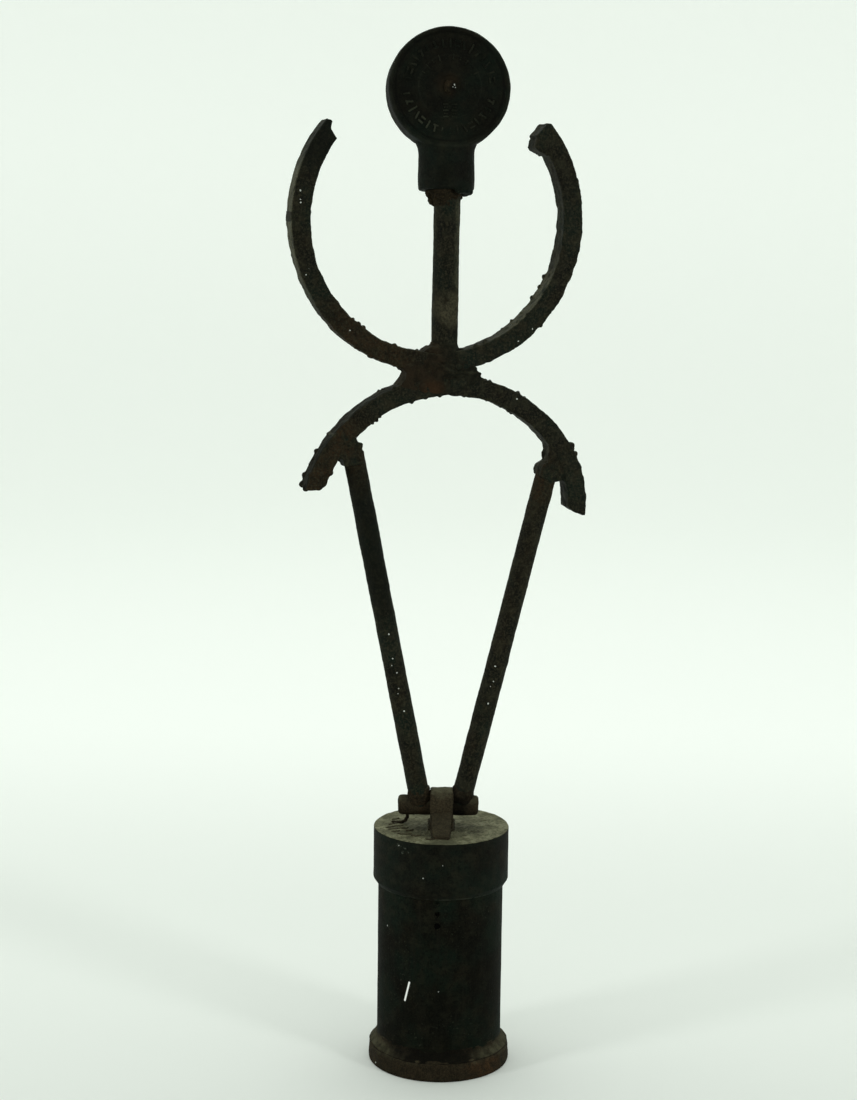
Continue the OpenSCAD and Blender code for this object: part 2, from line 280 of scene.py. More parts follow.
def bead(path, radius, seed, pitch=None, flat=1.0):
    """A run of weld metal along a path: lumps that overlap like a row of leaning coins."""
    chance = np.random.default_rng(seed)
    path = np.array(path, float)
    pitch = pitch or radius * 0.75
    lumps_made = []
    for a, b in zip(path, path[1:]):
        parts = max(1, int(round(np.linalg.norm(b - a) / pitch)))
        for k in range(parts):
            wide = radius * chance.uniform(0.85, 1.15)
            centre = a + (b - a) * k / parts + chance.normal(0, radius * 0.12, 3)
            lumps_made.append(blob(centre, (wide, wide * flat, wide * chance.uniform(0.8, 1.1))))
    return lumps_made


# ---------------------------------------------------------------- materials

class Field:
    """A value that varies over a surface. Arithmetic on it adds Math nodes."""

    def __init__(self, paint, socket):
        self.paint, self.socket = paint, socket

    def math(self, operation, *values):
        return self.paint.node("ShaderNodeMath", {"operation": operation}, dict(enumerate(values)))

    def __add__(self, other):
        return self.math("ADD", self, other)

    __radd__ = __add__

    def __sub__(self, other):
        return self.math("SUBTRACT", self, other)

    def __rsub__(self, other):
        return self.math("SUBTRACT", other, self)

    def __mul__(self, other):
        return self.math("MULTIPLY", self, other)

    __rmul__ = __mul__

    def highest(self, other):
        return self.math("MAXIMUM", self, other)

    def step(self, low, high):
        """0 below low, 1 above high, smooth between."""
        return self.paint.node("ShaderNodeMapRange", {"interpolation_type": "SMOOTHSTEP"},
                               {"Value": self, "From Min": low, "From Max": high})


class Paint:
    """One material. node() adds any node and gives back one of its outputs. colour is the colour so far."""

    def __init__(self, name):
        self.material = bpy.data.materials.new(name)
        self.material.use_nodes = True
        self.tree = self.material.node_tree
        self.shader = self.tree.nodes["Principled BSDF"]
        self.place = self.node("ShaderNodeTexCoord", out="Object")
        self.colour = None

    def node(self, kind, settings=None, values=None, out=0):
        made = self.tree.nodes.new(kind)
        for name, value in (settings or {}).items():
            setattr(made, name, value)
        for socket, value in (values or {}).items():
            self.give(made.inputs[socket], value)
        return Field(self, made.outputs[out])

    def give(self, socket, value):
        if isinstance(value, Field):
            self.tree.links.new(value.socket, socket)
        else:
            socket.default_value = value

    def grain(self, size, detail=3.0, roughness=0.55, stretch=None):
        """Noise from 0 to 1 with features of about the given size in millimetres."""
        place = self.place
        if stretch:
            place = self.node("ShaderNodeVectorMath", {"operation": "MULTIPLY"}, {0: place, 1: stretch})
        return self.node("ShaderNodeTexNoise", None, {"Vector": place, "Scale": 1 / (size * mm),
                                                      "Detail": detail, "Roughness": roughness})

    def vector(self, operation, first, second, out=0):
        return self.node("ShaderNodeVectorMath", {"operation": operation}, {0: first, 1: second}, out=out)

    def gap(self, point, place=None):
        """Distance in metres from a point to the surface, or to another place."""
        return self.vector("DISTANCE", place or self.place, point, "Value")

    def part(self, axis, vector=None):
        """One part, X, Y or Z, of the surface's place or of another vector."""
        return self.node("ShaderNodeSeparateXYZ", None, {0: vector or self.place}, out=axis)

    def mix(self, share, first, second):
        """From the first colour to the second as share goes from 0 to 1."""
        def colour(value):
            return value if isinstance(value, Field) else (*value, 1.0)
        return self.node("ShaderNodeMix", {"data_type": "RGBA"},
                         {0: share, 6: colour(first), 7: colour(second)}, out=2)

    def over(self, share, second):
        """Lays a second colour over the colour so far."""
        self.colour = self.mix(share, self.colour, second)

    def facing_up(self):
        """1 where the surface faces straight up, 0 where it is upright, less than 0 below."""
        return self.part("Z", self.node("ShaderNodeNewGeometry", out="Normal"))

    def edges(self):
        """1 on sharp outer edges, 0 elsewhere."""
        return self.node("ShaderNodeNewGeometry", out="Pointiness").step(0.53, 0.62)

    def line(self, start, end, width):
        """1 within a narrow mark between two points, 0 elsewhere."""
        start, end = Vector(start), Vector(end)
        away = self.vector("SUBTRACT", self.place, start)
        run = (end - start) / (end - start).length_squared
        share = self.node("ShaderNodeClamp", None, {"Value": self.vector("DOT_PRODUCT", away, run, "Value")})
        along = self.node("ShaderNodeVectorMath", {"operation": "SCALE"}, {0: end - start, "Scale": share})
        return 1 - self.gap(along, away).step(width * 0.4, width * 0.6)

    def spots(self, places, reach, sizes=(1.0, 0.62, 0.8)):
        """1 inside small ragged spots at the given places, 0 elsewhere. The spots take turns at the sizes."""
        noise = self.node("ShaderNodeTexNoise", None, {"Vector": self.place, "Scale": 1100.0, "Detail": 2.0},
                          out="Color")
        shift = self.node("ShaderNodeVectorMath", {"operation": "MULTIPLY_ADD"},
                          {0: noise, 1: (reach * 1.6,) * 3, 2: (-reach * 0.8,) * 3})
        ragged = self.vector("ADD", self.place, shift)
        total = None
        for k, place in enumerate(places):
            size = reach * sizes[k % len(sizes)]
            spot = 1 - self.gap(place, ragged).step(size * 0.7, size)
            total = spot if total is None else total.highest(spot)
        return total

    def sides(self):
        """1 where the surface faces left, right, up or down, 0 where it faces the front or the back."""
        depth = self.part("Y", self.node("ShaderNodeTexCoord", out="Normal"))
        return 1 - (depth * depth).step(0.12, 0.6)

    def finish(self, roughness, relief=None, depth=0.0, gloss=0.2):
        """Sets the shader. relief is a Field of heights from 0 to 1, depth is what 1 stands for in metres."""
        self.give(self.shader.inputs["Base Color"], self.colour)
        self.give(self.shader.inputs["Roughness"], roughness)
        self.shader.inputs["Specular IOR Level"].default_value = gloss
        if relief is not None:
            bump = self.node("ShaderNodeBump", None, {"Strength": 1.0, "Distance": depth, "Height": relief})
            self.give(self.shader.inputs["Normal"], bump)
        return self.material


# Colours, as linear light
HOLE_SHADE = (0.0002, 0.0002, 0.0002)
SOOT = (0.0011, 0.0013, 0.0008)
BLACK = (0.003, 0.0034, 0.002)
GREENISH = (0.0036, 0.0082, 0.005)
SCALE = (0.015, 0.0152, 0.0086)
BROWN = (0.013, 0.0088, 0.0044)
RUST = (0.028, 0.016, 0.007)
ORANGE = (0.06, 0.028, 0.01)
DUST = (0.096, 0.098, 0.058)
RUBBED = (0.019, 0.0215, 0.014)
CHALK_AND_GLINT = (0.62, 0.66, 0.6)


def iron(paint, rusty, scaly, dusty, near=None):
    """Paints old iron: black oxide, greenish patches, worn scale, rust, pale sharp edges that are worn to the
    metal and a painted highlight, and dust that lies on top. Gives back its roughness and its fine and patchy
    grains."""
    broad, patchy, fine = paint.grain(34), paint.grain(7, 4), paint.grain(1.1, 4)
    paint.colour = paint.mix(broad.step(0.45, 0.6), BLACK, GREENISH)
    paint.over(patchy.step(0.45, 0.68) * scaly, SCALE)
    stain = paint.grain(15, 5).step(0.4, 0.66) * rusty
    if near is not None:
        stain = stain.highest(near)
    rust = paint.mix(fine.step(0.35, 0.65), BROWN, RUST)
    paint.over(stain * (0.45 + 0.55 * patchy.step(0.35, 0.6)), rust)
    paint.over(paint.grain(0.75, 2).step(0.42, 0.66) * (0.6 * scaly), SCALE)
    paint.over(paint.grain(1.9, 5, 0.7).step(0.5, 0.64) * 0.6, SOOT)
    # Pale sharp edges: worn to the metal, and a painted highlight.
    bare_and_highlight = paint.edges() * fine.step(0.4, 0.7) * (0.5 * scaly)
    paint.over(bare_and_highlight, (0.052, 0.056, 0.038))
    lying = paint.facing_up().step(0.25, 0.95) * (0.35 + 0.65 * patchy.step(0.3, 0.7)) * dusty
    paint.over(lying, DUST)
    return 0.55 + 0.25 * fine + 0.12 * stain, fine, patchy


def pipe_black(scratch, shaded_holes, chips):
    """Black, darkest low down, with faint pale specks, one bright scratch, and painted shade in its drilled
    holes.
    """
    paint = Paint("pipe_black")
    rough, fine, patchy = iron(paint, 0.14, 0.42, 0.3)
    streaks = paint.grain(2.6, 3, 0.6, (1, 1, 0.1)).step(0.48, 0.7)
    paint.over(streaks * 0.35, (0.0105, 0.0102, 0.0068))
    broken = paint.grain(20, 3)
    paint.over(0.3 - 0.25 * paint.part("Z").step(60 * mm, 110 * mm), SOOT)
    salt = paint.grain(1.3, 1, 0.3).step(0.64, 0.76) * broken.step(0.44, 0.6)
    paint.over(salt * 0.7, RUBBED)
    paint.over(paint.spots(chips, 0.55 * mm) * 0.5, CHALK_AND_GLINT)
    paint.over(paint.line(*scratch, 1.1 * mm), (0.85, 0.87, 0.83))
    # Painted shade: near black over the drilled holes.
    paint.over(paint.spots(shaded_holes, 2.3 * mm, (0.8, 1.0, 0.45)) * 0.95, HOLE_SHADE)
    return paint.finish(rough, 0.6 * fine + 0.4 * patchy, 0.3 * mm, 0.03)


def cap_black(chips, scuffs):
    """Black on the side, with a coat of pale dirt on the flat top, worn off round the rim. Painted shade with
    dark grit beside the rib, and painted highlights on the sharp edges and just above the lip.
    """
    paint = Paint("cap_black")
    rough, fine, patchy = iron(paint, 0.16, 0.55, 0.0)
    streaks = paint.grain(3.5, 3, 0.6, (1, 1, 0.2)).step(0.5, 0.72)
    paint.over(streaks * 0.3, (0.01, 0.0108, 0.0072))
    paint.over(0.18, SOOT)
    dirt = paint.mix(patchy.step(0.35, 0.65), (0.092, 0.092, 0.052), (0.185, 0.188, 0.112))
    dirt = paint.mix(paint.grain(1.6, 5, 0.75).step(0.46, 0.62) * 0.8, dirt, (0.034, 0.032, 0.017))
    # Painted shade beside the rib on the top, with dark grit specks in it; it goes into the top's colour
    # below.
    dark = near_point((-13 * mm, -12 * mm, cap_top), 17 * mm)(paint)
    dark = dark.highest(near_point((11 * mm, -13 * mm, cap_top), 13 * mm)(paint))
    specks = paint.grain(1.2, 4, 0.7).step(0.46, 0.6)
    dirt = paint.mix(dark * (0.3 + 0.65 * specks), dirt, (0.02, 0.0185, 0.0085))
    front = near_point((-12 * mm, -38 * mm, cap_top), 14 * mm)(paint)
    dirt = paint.mix(front * 0.7, dirt, (0.045, 0.046, 0.027))
    paint.over(paint.facing_up().step(0.45, 0.9), dirt)
    # Painted highlight on the cap's sharp edges.
    paint.over(paint.edges() * 0.45, (0.08, 0.086, 0.055))
    paint.over(paint.spots(scuffs, 1.1 * mm) * specks * 0.35, (0.16, 0.18, 0.14))
    paint.over(paint.spots(chips, 0.5 * mm) * 0.5, CHALK_AND_GLINT)
    # A patchy pale line just above the lip: a painted highlight.
    off_lip = paint.part("Z") - (cap_lip + 0.5 * mm)
    lip = (1 - (off_lip * off_lip).step((0.25 * mm) ** 2, (0.8 * mm) ** 2)) * patchy.step(0.44, 0.6)
    paint.over(lip * 0.4, (0.036, 0.041, 0.028))
    return paint.finish(rough, 0.6 * fine + 0.4 * patchy, 0.3 * mm, 0.045)


def bar_iron(name, rusty, near=None, chips=(), pale=None, soot_and_shade=None):
    """Bar stock: black and brown scale with a gritty face. near masks rust, pale what is painted pale, a
    painted highlight and a paler stain, soot what is black, and chips are bright points."""
    paint = Paint(name)
    rough, fine, patchy = iron(paint, rusty, 1.0, 0.2, near and near(paint))
    grit = paint.grain(1.5, 5, 0.65).step(0.45, 0.66)
    paint.over(grit * 0.6, (0.031, 0.0285, 0.0155))
    # Painted highlight, and a paler stain, where the pale mask is.
    if pale:
        rubbed_and_highlight = paint.mix(fine.step(0.35, 0.65), (0.03, 0.031, 0.0185), (0.082, 0.08, 0.05))
        paint.over(pale(paint) * patchy.step(0.3, 0.5) * 0.85, rubbed_and_highlight)
    if soot_and_shade:
        paint.over(soot_and_shade(paint) * 0.7, (0.0026, 0.004, 0.0024))
    if chips:
        paint.over(paint.spots(chips, 0.55 * mm) * 0.8, CHALK_AND_GLINT)
    return paint.finish(rough, 0.5 * fine + 0.5 * patchy, 0.45 * mm, 0.06)


def rusty_iron(name, dusty, orange, near=None, chips=(), dust_free_shade=None, soot_and_shade=None, pale=0.0, lies=(0.1, 0.85)):
    """Rust brown with orange in it, most of it near a mask. dusty is how much dust lies where the surface
    faces up, lies how steep that may be, clean masks painted shade where no dust lies, soot where it is
    black, from soot and from painted shade, and pale lifts the whole colour."""
    paint = Paint(name)
    fine, patchy, broad = paint.grain(0.8, 5, 0.6), paint.grain(4.5, 5), paint.grain(16, 3)
    paint.colour = paint.mix(patchy.step(0.36, 0.62), (0.008, 0.0068, 0.0038), (0.0145, 0.0108, 0.0058))
    paint.over(fine.step(0.42, 0.62) * 0.65, (0.03, 0.0225, 0.012))
    paint.over(paint.grain(1.7, 5, 0.7).step(0.5, 0.64) * 0.55, (0.004, 0.0034, 0.0018))
    if pale:
        paint.over(pale * (0.4 + 0.6 * fine.step(0.35, 0.65)), (0.062, 0.052, 0.03))
    share = broad.step(0.5, 0.7) * patchy.step(0.45, 0.65) * orange
    if near:
        share = share.highest(near(paint) * (0.12 + 0.33 * patchy.step(0.35, 0.6)))
    paint.over(share, paint.mix(fine.step(0.35, 0.65), RUST, ORANGE))
    lying = paint.facing_up().step(*lies) * (0.3 + 0.7 * patchy.step(0.3, 0.65)) * dusty
    # Painted shade: no dust where this mask is.
    if dust_free_shade:
        lying = lying * (1 - 0.85 * dust_free_shade(paint))
    paint.over(lying, DUST)
    # Made black: soot, and on the fillet's front painted shade.
    if soot_and_shade:
        paint.over(soot_and_shade(paint) * 0.85, SOOT)
    # White chips; on the screw these are painted glints.
    if chips:
        paint.over(paint.spots(chips, 0.55 * mm) * 0.7, CHALK_AND_GLINT)
    return paint.finish(0.72 + 0.2 * fine, 0.55 * fine + 0.45 * patchy, 0.5 * mm, 0.05)


def head_cast():
    """Sand-cast iron: a fine even tooth, dark and greenish, with rust round the screw."""
    paint = Paint("head_cast")
    rough, fine, patchy = iron(paint, 0.12, 0.42, 0.08)
    tooth = paint.grain(0.7, 2, 0.5)
    paint.over(tooth.step(0.48, 0.7) * 0.5, (0.012, 0.0128, 0.0082))
    low = 1 - paint.node("ShaderNodeNewGeometry", out="Pointiness").step(0.44, 0.5)
    paint.over(low * 0.5, (0.013, 0.0122, 0.007))
    paint.over(0.26, SOOT)
    reach = paint.gap(rim_centre)
    for radius, wide, share, tone in ((head_r - 4.3 * mm, 0.9 * mm, 0.55, SOOT),
                                      (head_r - 1.4 * mm, 1.2 * mm, 0.35, RUBBED),
                                      (17.4 * mm, 0.7 * mm, 0.14, RUBBED)):
        off = reach - radius
        ring = 1 - (off * off).step(0, wide * wide)
        paint.over(ring * patchy.step(0.3, 0.55) * share, tone)
    stain = near_point(on_face(-1.5 * mm, 1.5 * mm), 8 * mm)(paint)
    paint.over(stain * (0.25 + 0.5 * fine), (0.02, 0.0125, 0.0058))
    paint.over(paint.spots([Vector(on_face(-21.5 * mm, 18 * mm))], 0.7 * mm), CHALK_AND_GLINT)
    return paint.finish(rough, 0.6 * tooth + 0.4 * patchy, 0.4 * mm, 0.05)


def marks_worn():
    """The tops of the raised marks: like the face, and rubbed paler low on the left."""
    paint = Paint("marks_worn")
    fine, patchy = paint.grain(0.8, 3), paint.grain(6, 3)
    paint.colour = paint.mix(patchy.step(0.4, 0.62), (0.005, 0.0066, 0.0042), (0.015, 0.0164, 0.0104))
    rubbed_and_highlight = near_point(on_face(-15 * mm, -18 * mm), 19 * mm)(paint)
    paint.over(rubbed_and_highlight * 0.75, (0.034, 0.038, 0.0245))
    paint.over(fine.step(0.5, 0.75) * 0.5, (0.0105, 0.01, 0.0062))
    return paint.finish(0.55 + 0.2 * fine, fine, 0.2 * mm, 0.05)


def hub_paint(name):
    """Brown on the left of the hub, going to black on its right, with a rusty patch low down."""
    paint = Paint(name)
    fine, patchy = paint.grain(0.9, 5, 0.6), paint.grain(4.5, 5)
    right = (paint.part("X") + (paint.grain(8, 4) - 0.5) * (12 * mm)).step(-11 * mm, 2 * mm)
    brown = paint.mix(patchy.step(0.36, 0.62), (0.0085, 0.0068, 0.0038), (0.0165, 0.0118, 0.0066))
    black = paint.mix(patchy.step(0.4, 0.65), (0.0048, 0.0058, 0.0034), (0.013, 0.0138, 0.0086))
    paint.colour = paint.mix(right, brown, black)
    paint.over(fine.step(0.46, 0.68) * 0.55, (0.024, 0.0185, 0.01))
    patch = near_point(at(-11, -7, 396), 8 * mm)(paint)
    paint.over(patch * 0.4, (0.044, 0.021, 0.0085))
    lying = paint.facing_up().step(0.1, 0.85) * (0.3 + 0.7 * patchy.step(0.3, 0.65)) * 0.15
    paint.over(lying, DUST)
    return paint.finish(0.68 + 0.2 * fine, 0.55 * fine + 0.45 * patchy, 0.5 * mm, 0.05)


def fibre():
    """Brown pressed fibre, for the sealing ring."""
    paint = Paint("seal_fibre")
    fine = paint.grain(0.6, 4)
    paint.colour = paint.mix(fine.step(0.3, 0.7), (0.1, 0.075, 0.045), (0.2, 0.16, 0.1))
    return paint.finish(0.7 + 0.2 * fine, fine, 0.15 * mm, 0.2)


def near_point(centre, reach):
    """A maker of a mask that is 1 close to a point and fades out at reach, with a ragged edge."""
    def mask(paint):
        ragged = paint.gap(centre) + (paint.grain(6, 4) - 0.5) * (reach * 0.9)
        return 1 - ragged.step(reach * 0.35, reach * 1.1)
    return mask


# ---------------------------------------------------------------- the pieces

def piece(name, mesh, body, slot, material, *nodes):
    """Puts a finished mesh in the scene in place of its CAD nodes."""
    obj = placed(bpy.data.objects.new(name, mesh))
    mesh.materials.clear()
    mesh.materials.append(material)
    mesh.shade_smooth()
    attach(obj, body)
    if nodes:
        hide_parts(*nodes)


def fused(name, slot, paint, node, solids, voxel, soften, layers):
    """A piece of the figure: one rough skin round overlapping solids. node names the CAD node it replaces."""
    mesh = roughen(fuse(name, solids, voxel * mm, soften), layers)
    piece(name, mesh, "figure", slot, paint, *([node] if node else []))


pipe_high, foot_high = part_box("base_tube")[1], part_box("foot_ring")[1]
cap_low, cap_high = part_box("screw_cap")
seal_low, seal_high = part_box("seal_ring")
fillet_low, fillet_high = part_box("foot_weld")
pipe_r, cap_r, foot_r = pipe_high.x, cap_high.x, foot_high.x
pipe_top, cap_top = pipe_high.z, cap_high.z
LIP_RISE = 3.2 * mm  # how much higher the cap's lip is than the CAD's
cap_lip = cap_low.z + LIP_RISE
bore_r = next(m for m in frame["record"]["mounts"] if m["kind"] == "bore")["dims"]["r_mm"] * mm

hip_centre, hip_in, hip_out = ring_of("hip_arch")
arm_centre, arm_in, arm_out = ring_of("lower_arms")
strap_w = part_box("lower_arms")[1].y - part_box("lower_arms")[0].y
strap_t = arm_out - arm_in
left_foot, left_top, leg_r = rod_of("left_leg")
right_foot, right_top = rod_of("right_leg")[:2]
bar_left, bar_right, bar_r = rod_of("tommy_bar")
torso_foot, torso_top, torso_r = rod_of("torso_rod")
lug_x = (bar_right - bar_left) / np.linalg.norm(bar_right - bar_left)
lug_y = np.array([-lug_x[1], lug_x[0], 0])
lug_turn = np.c_[lug_x, lug_y, (0, 0, 1)]
neck_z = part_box("neck_weld")[1].z


def on_ring(centre, radius, angle, depth=0.0):
    """A point at a radius and angle about a ring's centre."""
    return np.array([centre[0] + radius * cos(angle), depth, centre[1] + radius * sin(angle)])


# The pipe, with its thread under the cap and three small drilled holes

THREAD_LEN, THREAD_DEEP, PITCH = 21.4 * mm, 1.3 * mm, 3.175 * mm
HOLES_BEARING, HOLE_DEEP = radians(-109), 3.6 * mm
HOLES = ((99.0 * mm, 1.1 * mm), (92.0 * mm, 1.6 * mm), (105.7 * mm, 0.7 * mm))  # height, radius
FINE_LOW, FINE_HIGH = 88 * mm, 107.5 * mm  # the mesh is fine between these heights, for the holes


def pipe():
    """The pipe, from an outline turned about its axis, with the holes and the thread pressed in."""
    shoulder = pipe_top - THREAD_LEN
    thread_r = pipe_r - THREAD_DEEP
    outline = soft_outline(
        [(pipe_r, 0), (pipe_r, shoulder), (thread_r, shoulder), (thread_r, pipe_top), (bore_r, pipe_top),
         (bore_r, 0)], 0.5 * mm, 1.1 * mm, closed=True)
    near = (HOLES_BEARING + np.linspace(-3.2, 3.2, 22) * mm / pipe_r) % tau
    around = np.sort(np.r_[evenly(230), near])
    extra = [(pipe_r, z) for z in np.arange(FINE_LOW, FINE_HIGH, 0.35 * mm)]
    threads = [(thread_r, z) for z in np.arange(shoulder + 0.6 * mm, pipe_top - 0.6 * mm, 0.4 * mm)]
    hair = 0.01 * mm
    side = [p for p in outline if p[0] > pipe_r - hair and p[1] < FINE_LOW]
    above = [p for p in outline if p[0] > pipe_r - hair and FINE_HIGH < p[1] < shoulder]
    rest = [p for p in outline if p[0] <= pipe_r - hair
            and not (abs(p[0] - thread_r) < hair and shoulder + 0.6 * mm < p[1] < pipe_top - 0.6 * mm)]
    order = sorted(side + extra + above, key=lambda p: p[1])
    lower = [p for p in rest if abs(p[1] - shoulder) < 0.7 * mm]
    upper = [p for p in rest if abs(p[1] - shoulder) >= 0.7 * mm]
    points, faces = lathe(order + sorted(lower, key=lambda p: -p[0]) + threads + upper, around, closed=True)
    mesh = roughen(mesh_of("pipe", points, faces),
                   [(22, 0.12, 1), (6, 0.05, 2), (1.8, 0.025, 3)],
                   lambda p: (np.hypot(p[:, 0], p[:, 1]) > bore_r + 1 * mm) & (p[:, 2] > 0.5 * mm))
    flat = np.array([v.co for v in mesh.vertices])
    bearing = np.arctan2(flat[:, 1], flat[:, 0])
    reach = np.hypot(flat[:, 0], flat[:, 1])
    inward = np.zeros(len(flat))
    for height, radius in HOLES:
        gap = np.hypot((bearing - HOLES_BEARING) * pipe_r, flat[:, 2] - height)
        inside = np.clip((radius + 0.45 * mm - gap) / (0.5 * mm), 0, 1)
        inward += inside * HOLE_DEEP * (reach > bore_r + 3 * mm)
    on_thread = (flat[:, 2] > shoulder + 1 * mm) & (flat[:, 2] < pipe_top - 0.8 * mm)
    on_thread &= reach > bore_r + 2 * mm
    turn = (flat[:, 2] / PITCH - bearing / tau) % 1
    inward += on_thread * np.abs(turn - 0.5) * 2 * 1.1 * mm
    flat[:, :2] *= (1 - inward / reach)[:, None]
    mesh.vertices.foreach_set("co", flat.ravel())
    mesh.update()
    scratch = (pipe_surface(-139.0, 45.5), pipe_surface(-134.6, 56.7))
    # Centres of the drilled holes, where the painted shade goes.
    shaded_holes = [pipe_surface(degrees(HOLES_BEARING), z / mm) for z, _ in HOLES]
    chips = [pipe_surface(-162.8, 86.6), pipe_surface(-107.0, 53.0)]
    piece("pipe", mesh, "base", "blackened_iron", pipe_black(scratch, shaded_holes, chips), "base_tube")


def pipe_surface(bearing, height):
    """A point on the pipe's side at a bearing in degrees and a height in millimetres."""
    return (pipe_r * cos(radians(bearing)), pipe_r * sin(radians(bearing)), height * mm)


def foot():
    """The ring round the pipe's foot, worn round at its edges, with painted shade at its front where no dust
    lies.
    """
    top, inner = foot_high.z, pipe_r - 0.2 * mm
    outline = soft_outline(
        [(inner, 0), (foot_r - 0.3 * mm, 0), (foot_r, 1.2 * mm), (foot_r - 0.2 * mm, top - 3.2 * mm),
         (foot_r - 1.6 * mm, top - 0.4 * mm), (inner, top + 0.3 * mm)], 1.6 * mm, 0.9 * mm, closed=True)
    points, faces = lathe(outline, evenly(260), closed=True)
    mesh = roughen(mesh_of("foot", points, faces),
                   [(11, 0.38, 4), (3.4, 0.22, 5), (1.3, 0.12, 6)],
                   lambda p: (np.clip(p[:, 2] / (1.2 * mm), 0, 1)
                              * (np.hypot(p[:, 0], p[:, 1]) > pipe_r + 0.5 * mm)))
    # The last mask keeps dust off the front, as painted shade.
    paint = rusty_iron("foot_rust", 0.42, 0.2, near_point(at(18, -37, 5), 15 * mm),
                       [at(-40.6, -8.0, 2.5)], near_point(at(-11, -38, 10), 24 * mm))
    piece("foot", mesh, "base", "rusty_iron", paint, "foot_ring")


def foot_fillet():
    """The dirt-filled weld between the foot ring and the pipe, hollow in section, with painted shade at its
    front.
    """
    low, high = fillet_low.z - 1.4 * mm, fillet_high.z
    wide = fillet_high.x + 0.9 * mm
    curve = [(pipe_r + (wide - pipe_r) * (1 - t) ** 2.1, low + (high - low) * t ** 0.9)
             for t in np.linspace(0, 1, 14)]
    outline = np.array(curve + [(pipe_r - 0.8 * mm, high), (pipe_r - 0.8 * mm, low)])
    points, faces = lathe(outline, evenly(260), closed=True)
    mesh = roughen(mesh_of("foot_fillet", points, faces),
                   [(7, 0.35, 8), (2.2, 0.22, 9)],
                   lambda p: (np.hypot(p[:, 0], p[:, 1]) > pipe_r - 0.3 * mm))
    # Painted shade at the front: no dust, and made black.
    front = near_point(at(-14, -35, 16), 34 * mm)
    paint = rusty_iron("fillet_dust_and_shade", 0.42, 0.1, dust_free_shade=front, soot_and_shade=front)
    piece("foot_fillet", mesh, "base", "rusty_weld", paint, "foot_weld")


def sealing_ring():
    """The fibre ring between the pipe's rim and the cap."""
    outline = soft_outline(
        [(bore_r, seal_low.z), (seal_high.x, seal_low.z), (seal_high.x, seal_high.z), (bore_r, seal_high.z)],
        0.5 * mm, 0.7 * mm, closed=True)
    mesh = mesh_of("sealing_ring", *lathe(outline, evenly(160), closed=True))
    piece("sealing_ring", mesh, "sealing", "seal_fibre", fibre(), "seal_ring")


def cap_side(bearing, height):
    """A point on the cap's side at a bearing in degrees and a height in millimetres."""
    return (cap_r * cos(radians(bearing)), cap_r * sin(radians(bearing)), height * mm)


def cap():
    """The cap: its flat top, side, tapered lower edge and hollow inside."""
    taper = 3.3 * mm
    thread_r = pipe_r - THREAD_DEEP + 0.08 * mm
    mouth_r = pipe_r + 0.3 * mm
    ceiling = seal_high.z
    shoulder = pipe_top - THREAD_LEN + 0.3 * mm
    outline = soft_outline(
        [(0.4 * mm, cap_top), (cap_r, cap_top), (cap_r, cap_lip + taper), (mouth_r + 0.35 * mm, cap_lip),
         (mouth_r, cap_lip), (mouth_r, shoulder), (thread_r, shoulder), (thread_r, ceiling),
         (0.4 * mm, ceiling)], 0.6 * mm, 0.85 * mm)
    points, faces = lathe(outline, evenly(280))
    mesh = mesh_of("cap", points, faces)
    roughen(mesh, [(26, 0.14, 11), (5, 0.06, 12), (1.6, 0.03, 13)],
            lambda p: (np.hypot(p[:, 0], p[:, 1]) > pipe_r + 1.2 * mm) * 1.0)
    chips = [cap_side(-121.1, 121.1), cap_side(-104.9, 129.1), cap_side(-144.2, 138.0)]
    scuffs = [cap_side(a, z)
              for a, z in ((-145, 138.6), (-142, 137.8), (-138, 137.2), (-140.5, 134.5), (-135, 135))]
    roughen(mesh, [(7, 0.16, 14), (2.4, 0.15, 15), (1.2, 0.07, 16)],
            lambda p: (p[:, 2] > cap_top - 0.4 * mm) * 1.0)
    piece("cap", mesh, "figure", "blackened_iron", cap_black(chips, scuffs), "screw_cap")


# The lug, the tommy bar and the welds on them

def lug():
    """The lug on the middle of the cap, round at the top, on which the tommy bar rests."""
    half, axis_z = 6.5 * mm, bar_left[2]
    eye_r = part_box("lug_eye")[1].z - axis_z - 0.3 * mm
    solids = [bar_solid(lug_x * -half + (0, 0, axis_z), lug_x * half + (0, 0, axis_z), eye_r, 64),
              block((-half, -eye_r, cap_top - 0.5 * mm), (half, eye_r, axis_z), lug_turn)]
    paint = rusty_iron("lug_rust", 0.6, 0.1, pale=0.38, lies=(0.55, 1.0))
    fused("lug", "rusty_iron", paint, "lug_eye", solids, 0.6, 4,
          [(6, 0.4, 21), (2.4, 0.28, 22), (1.3, 0.12, 23)])


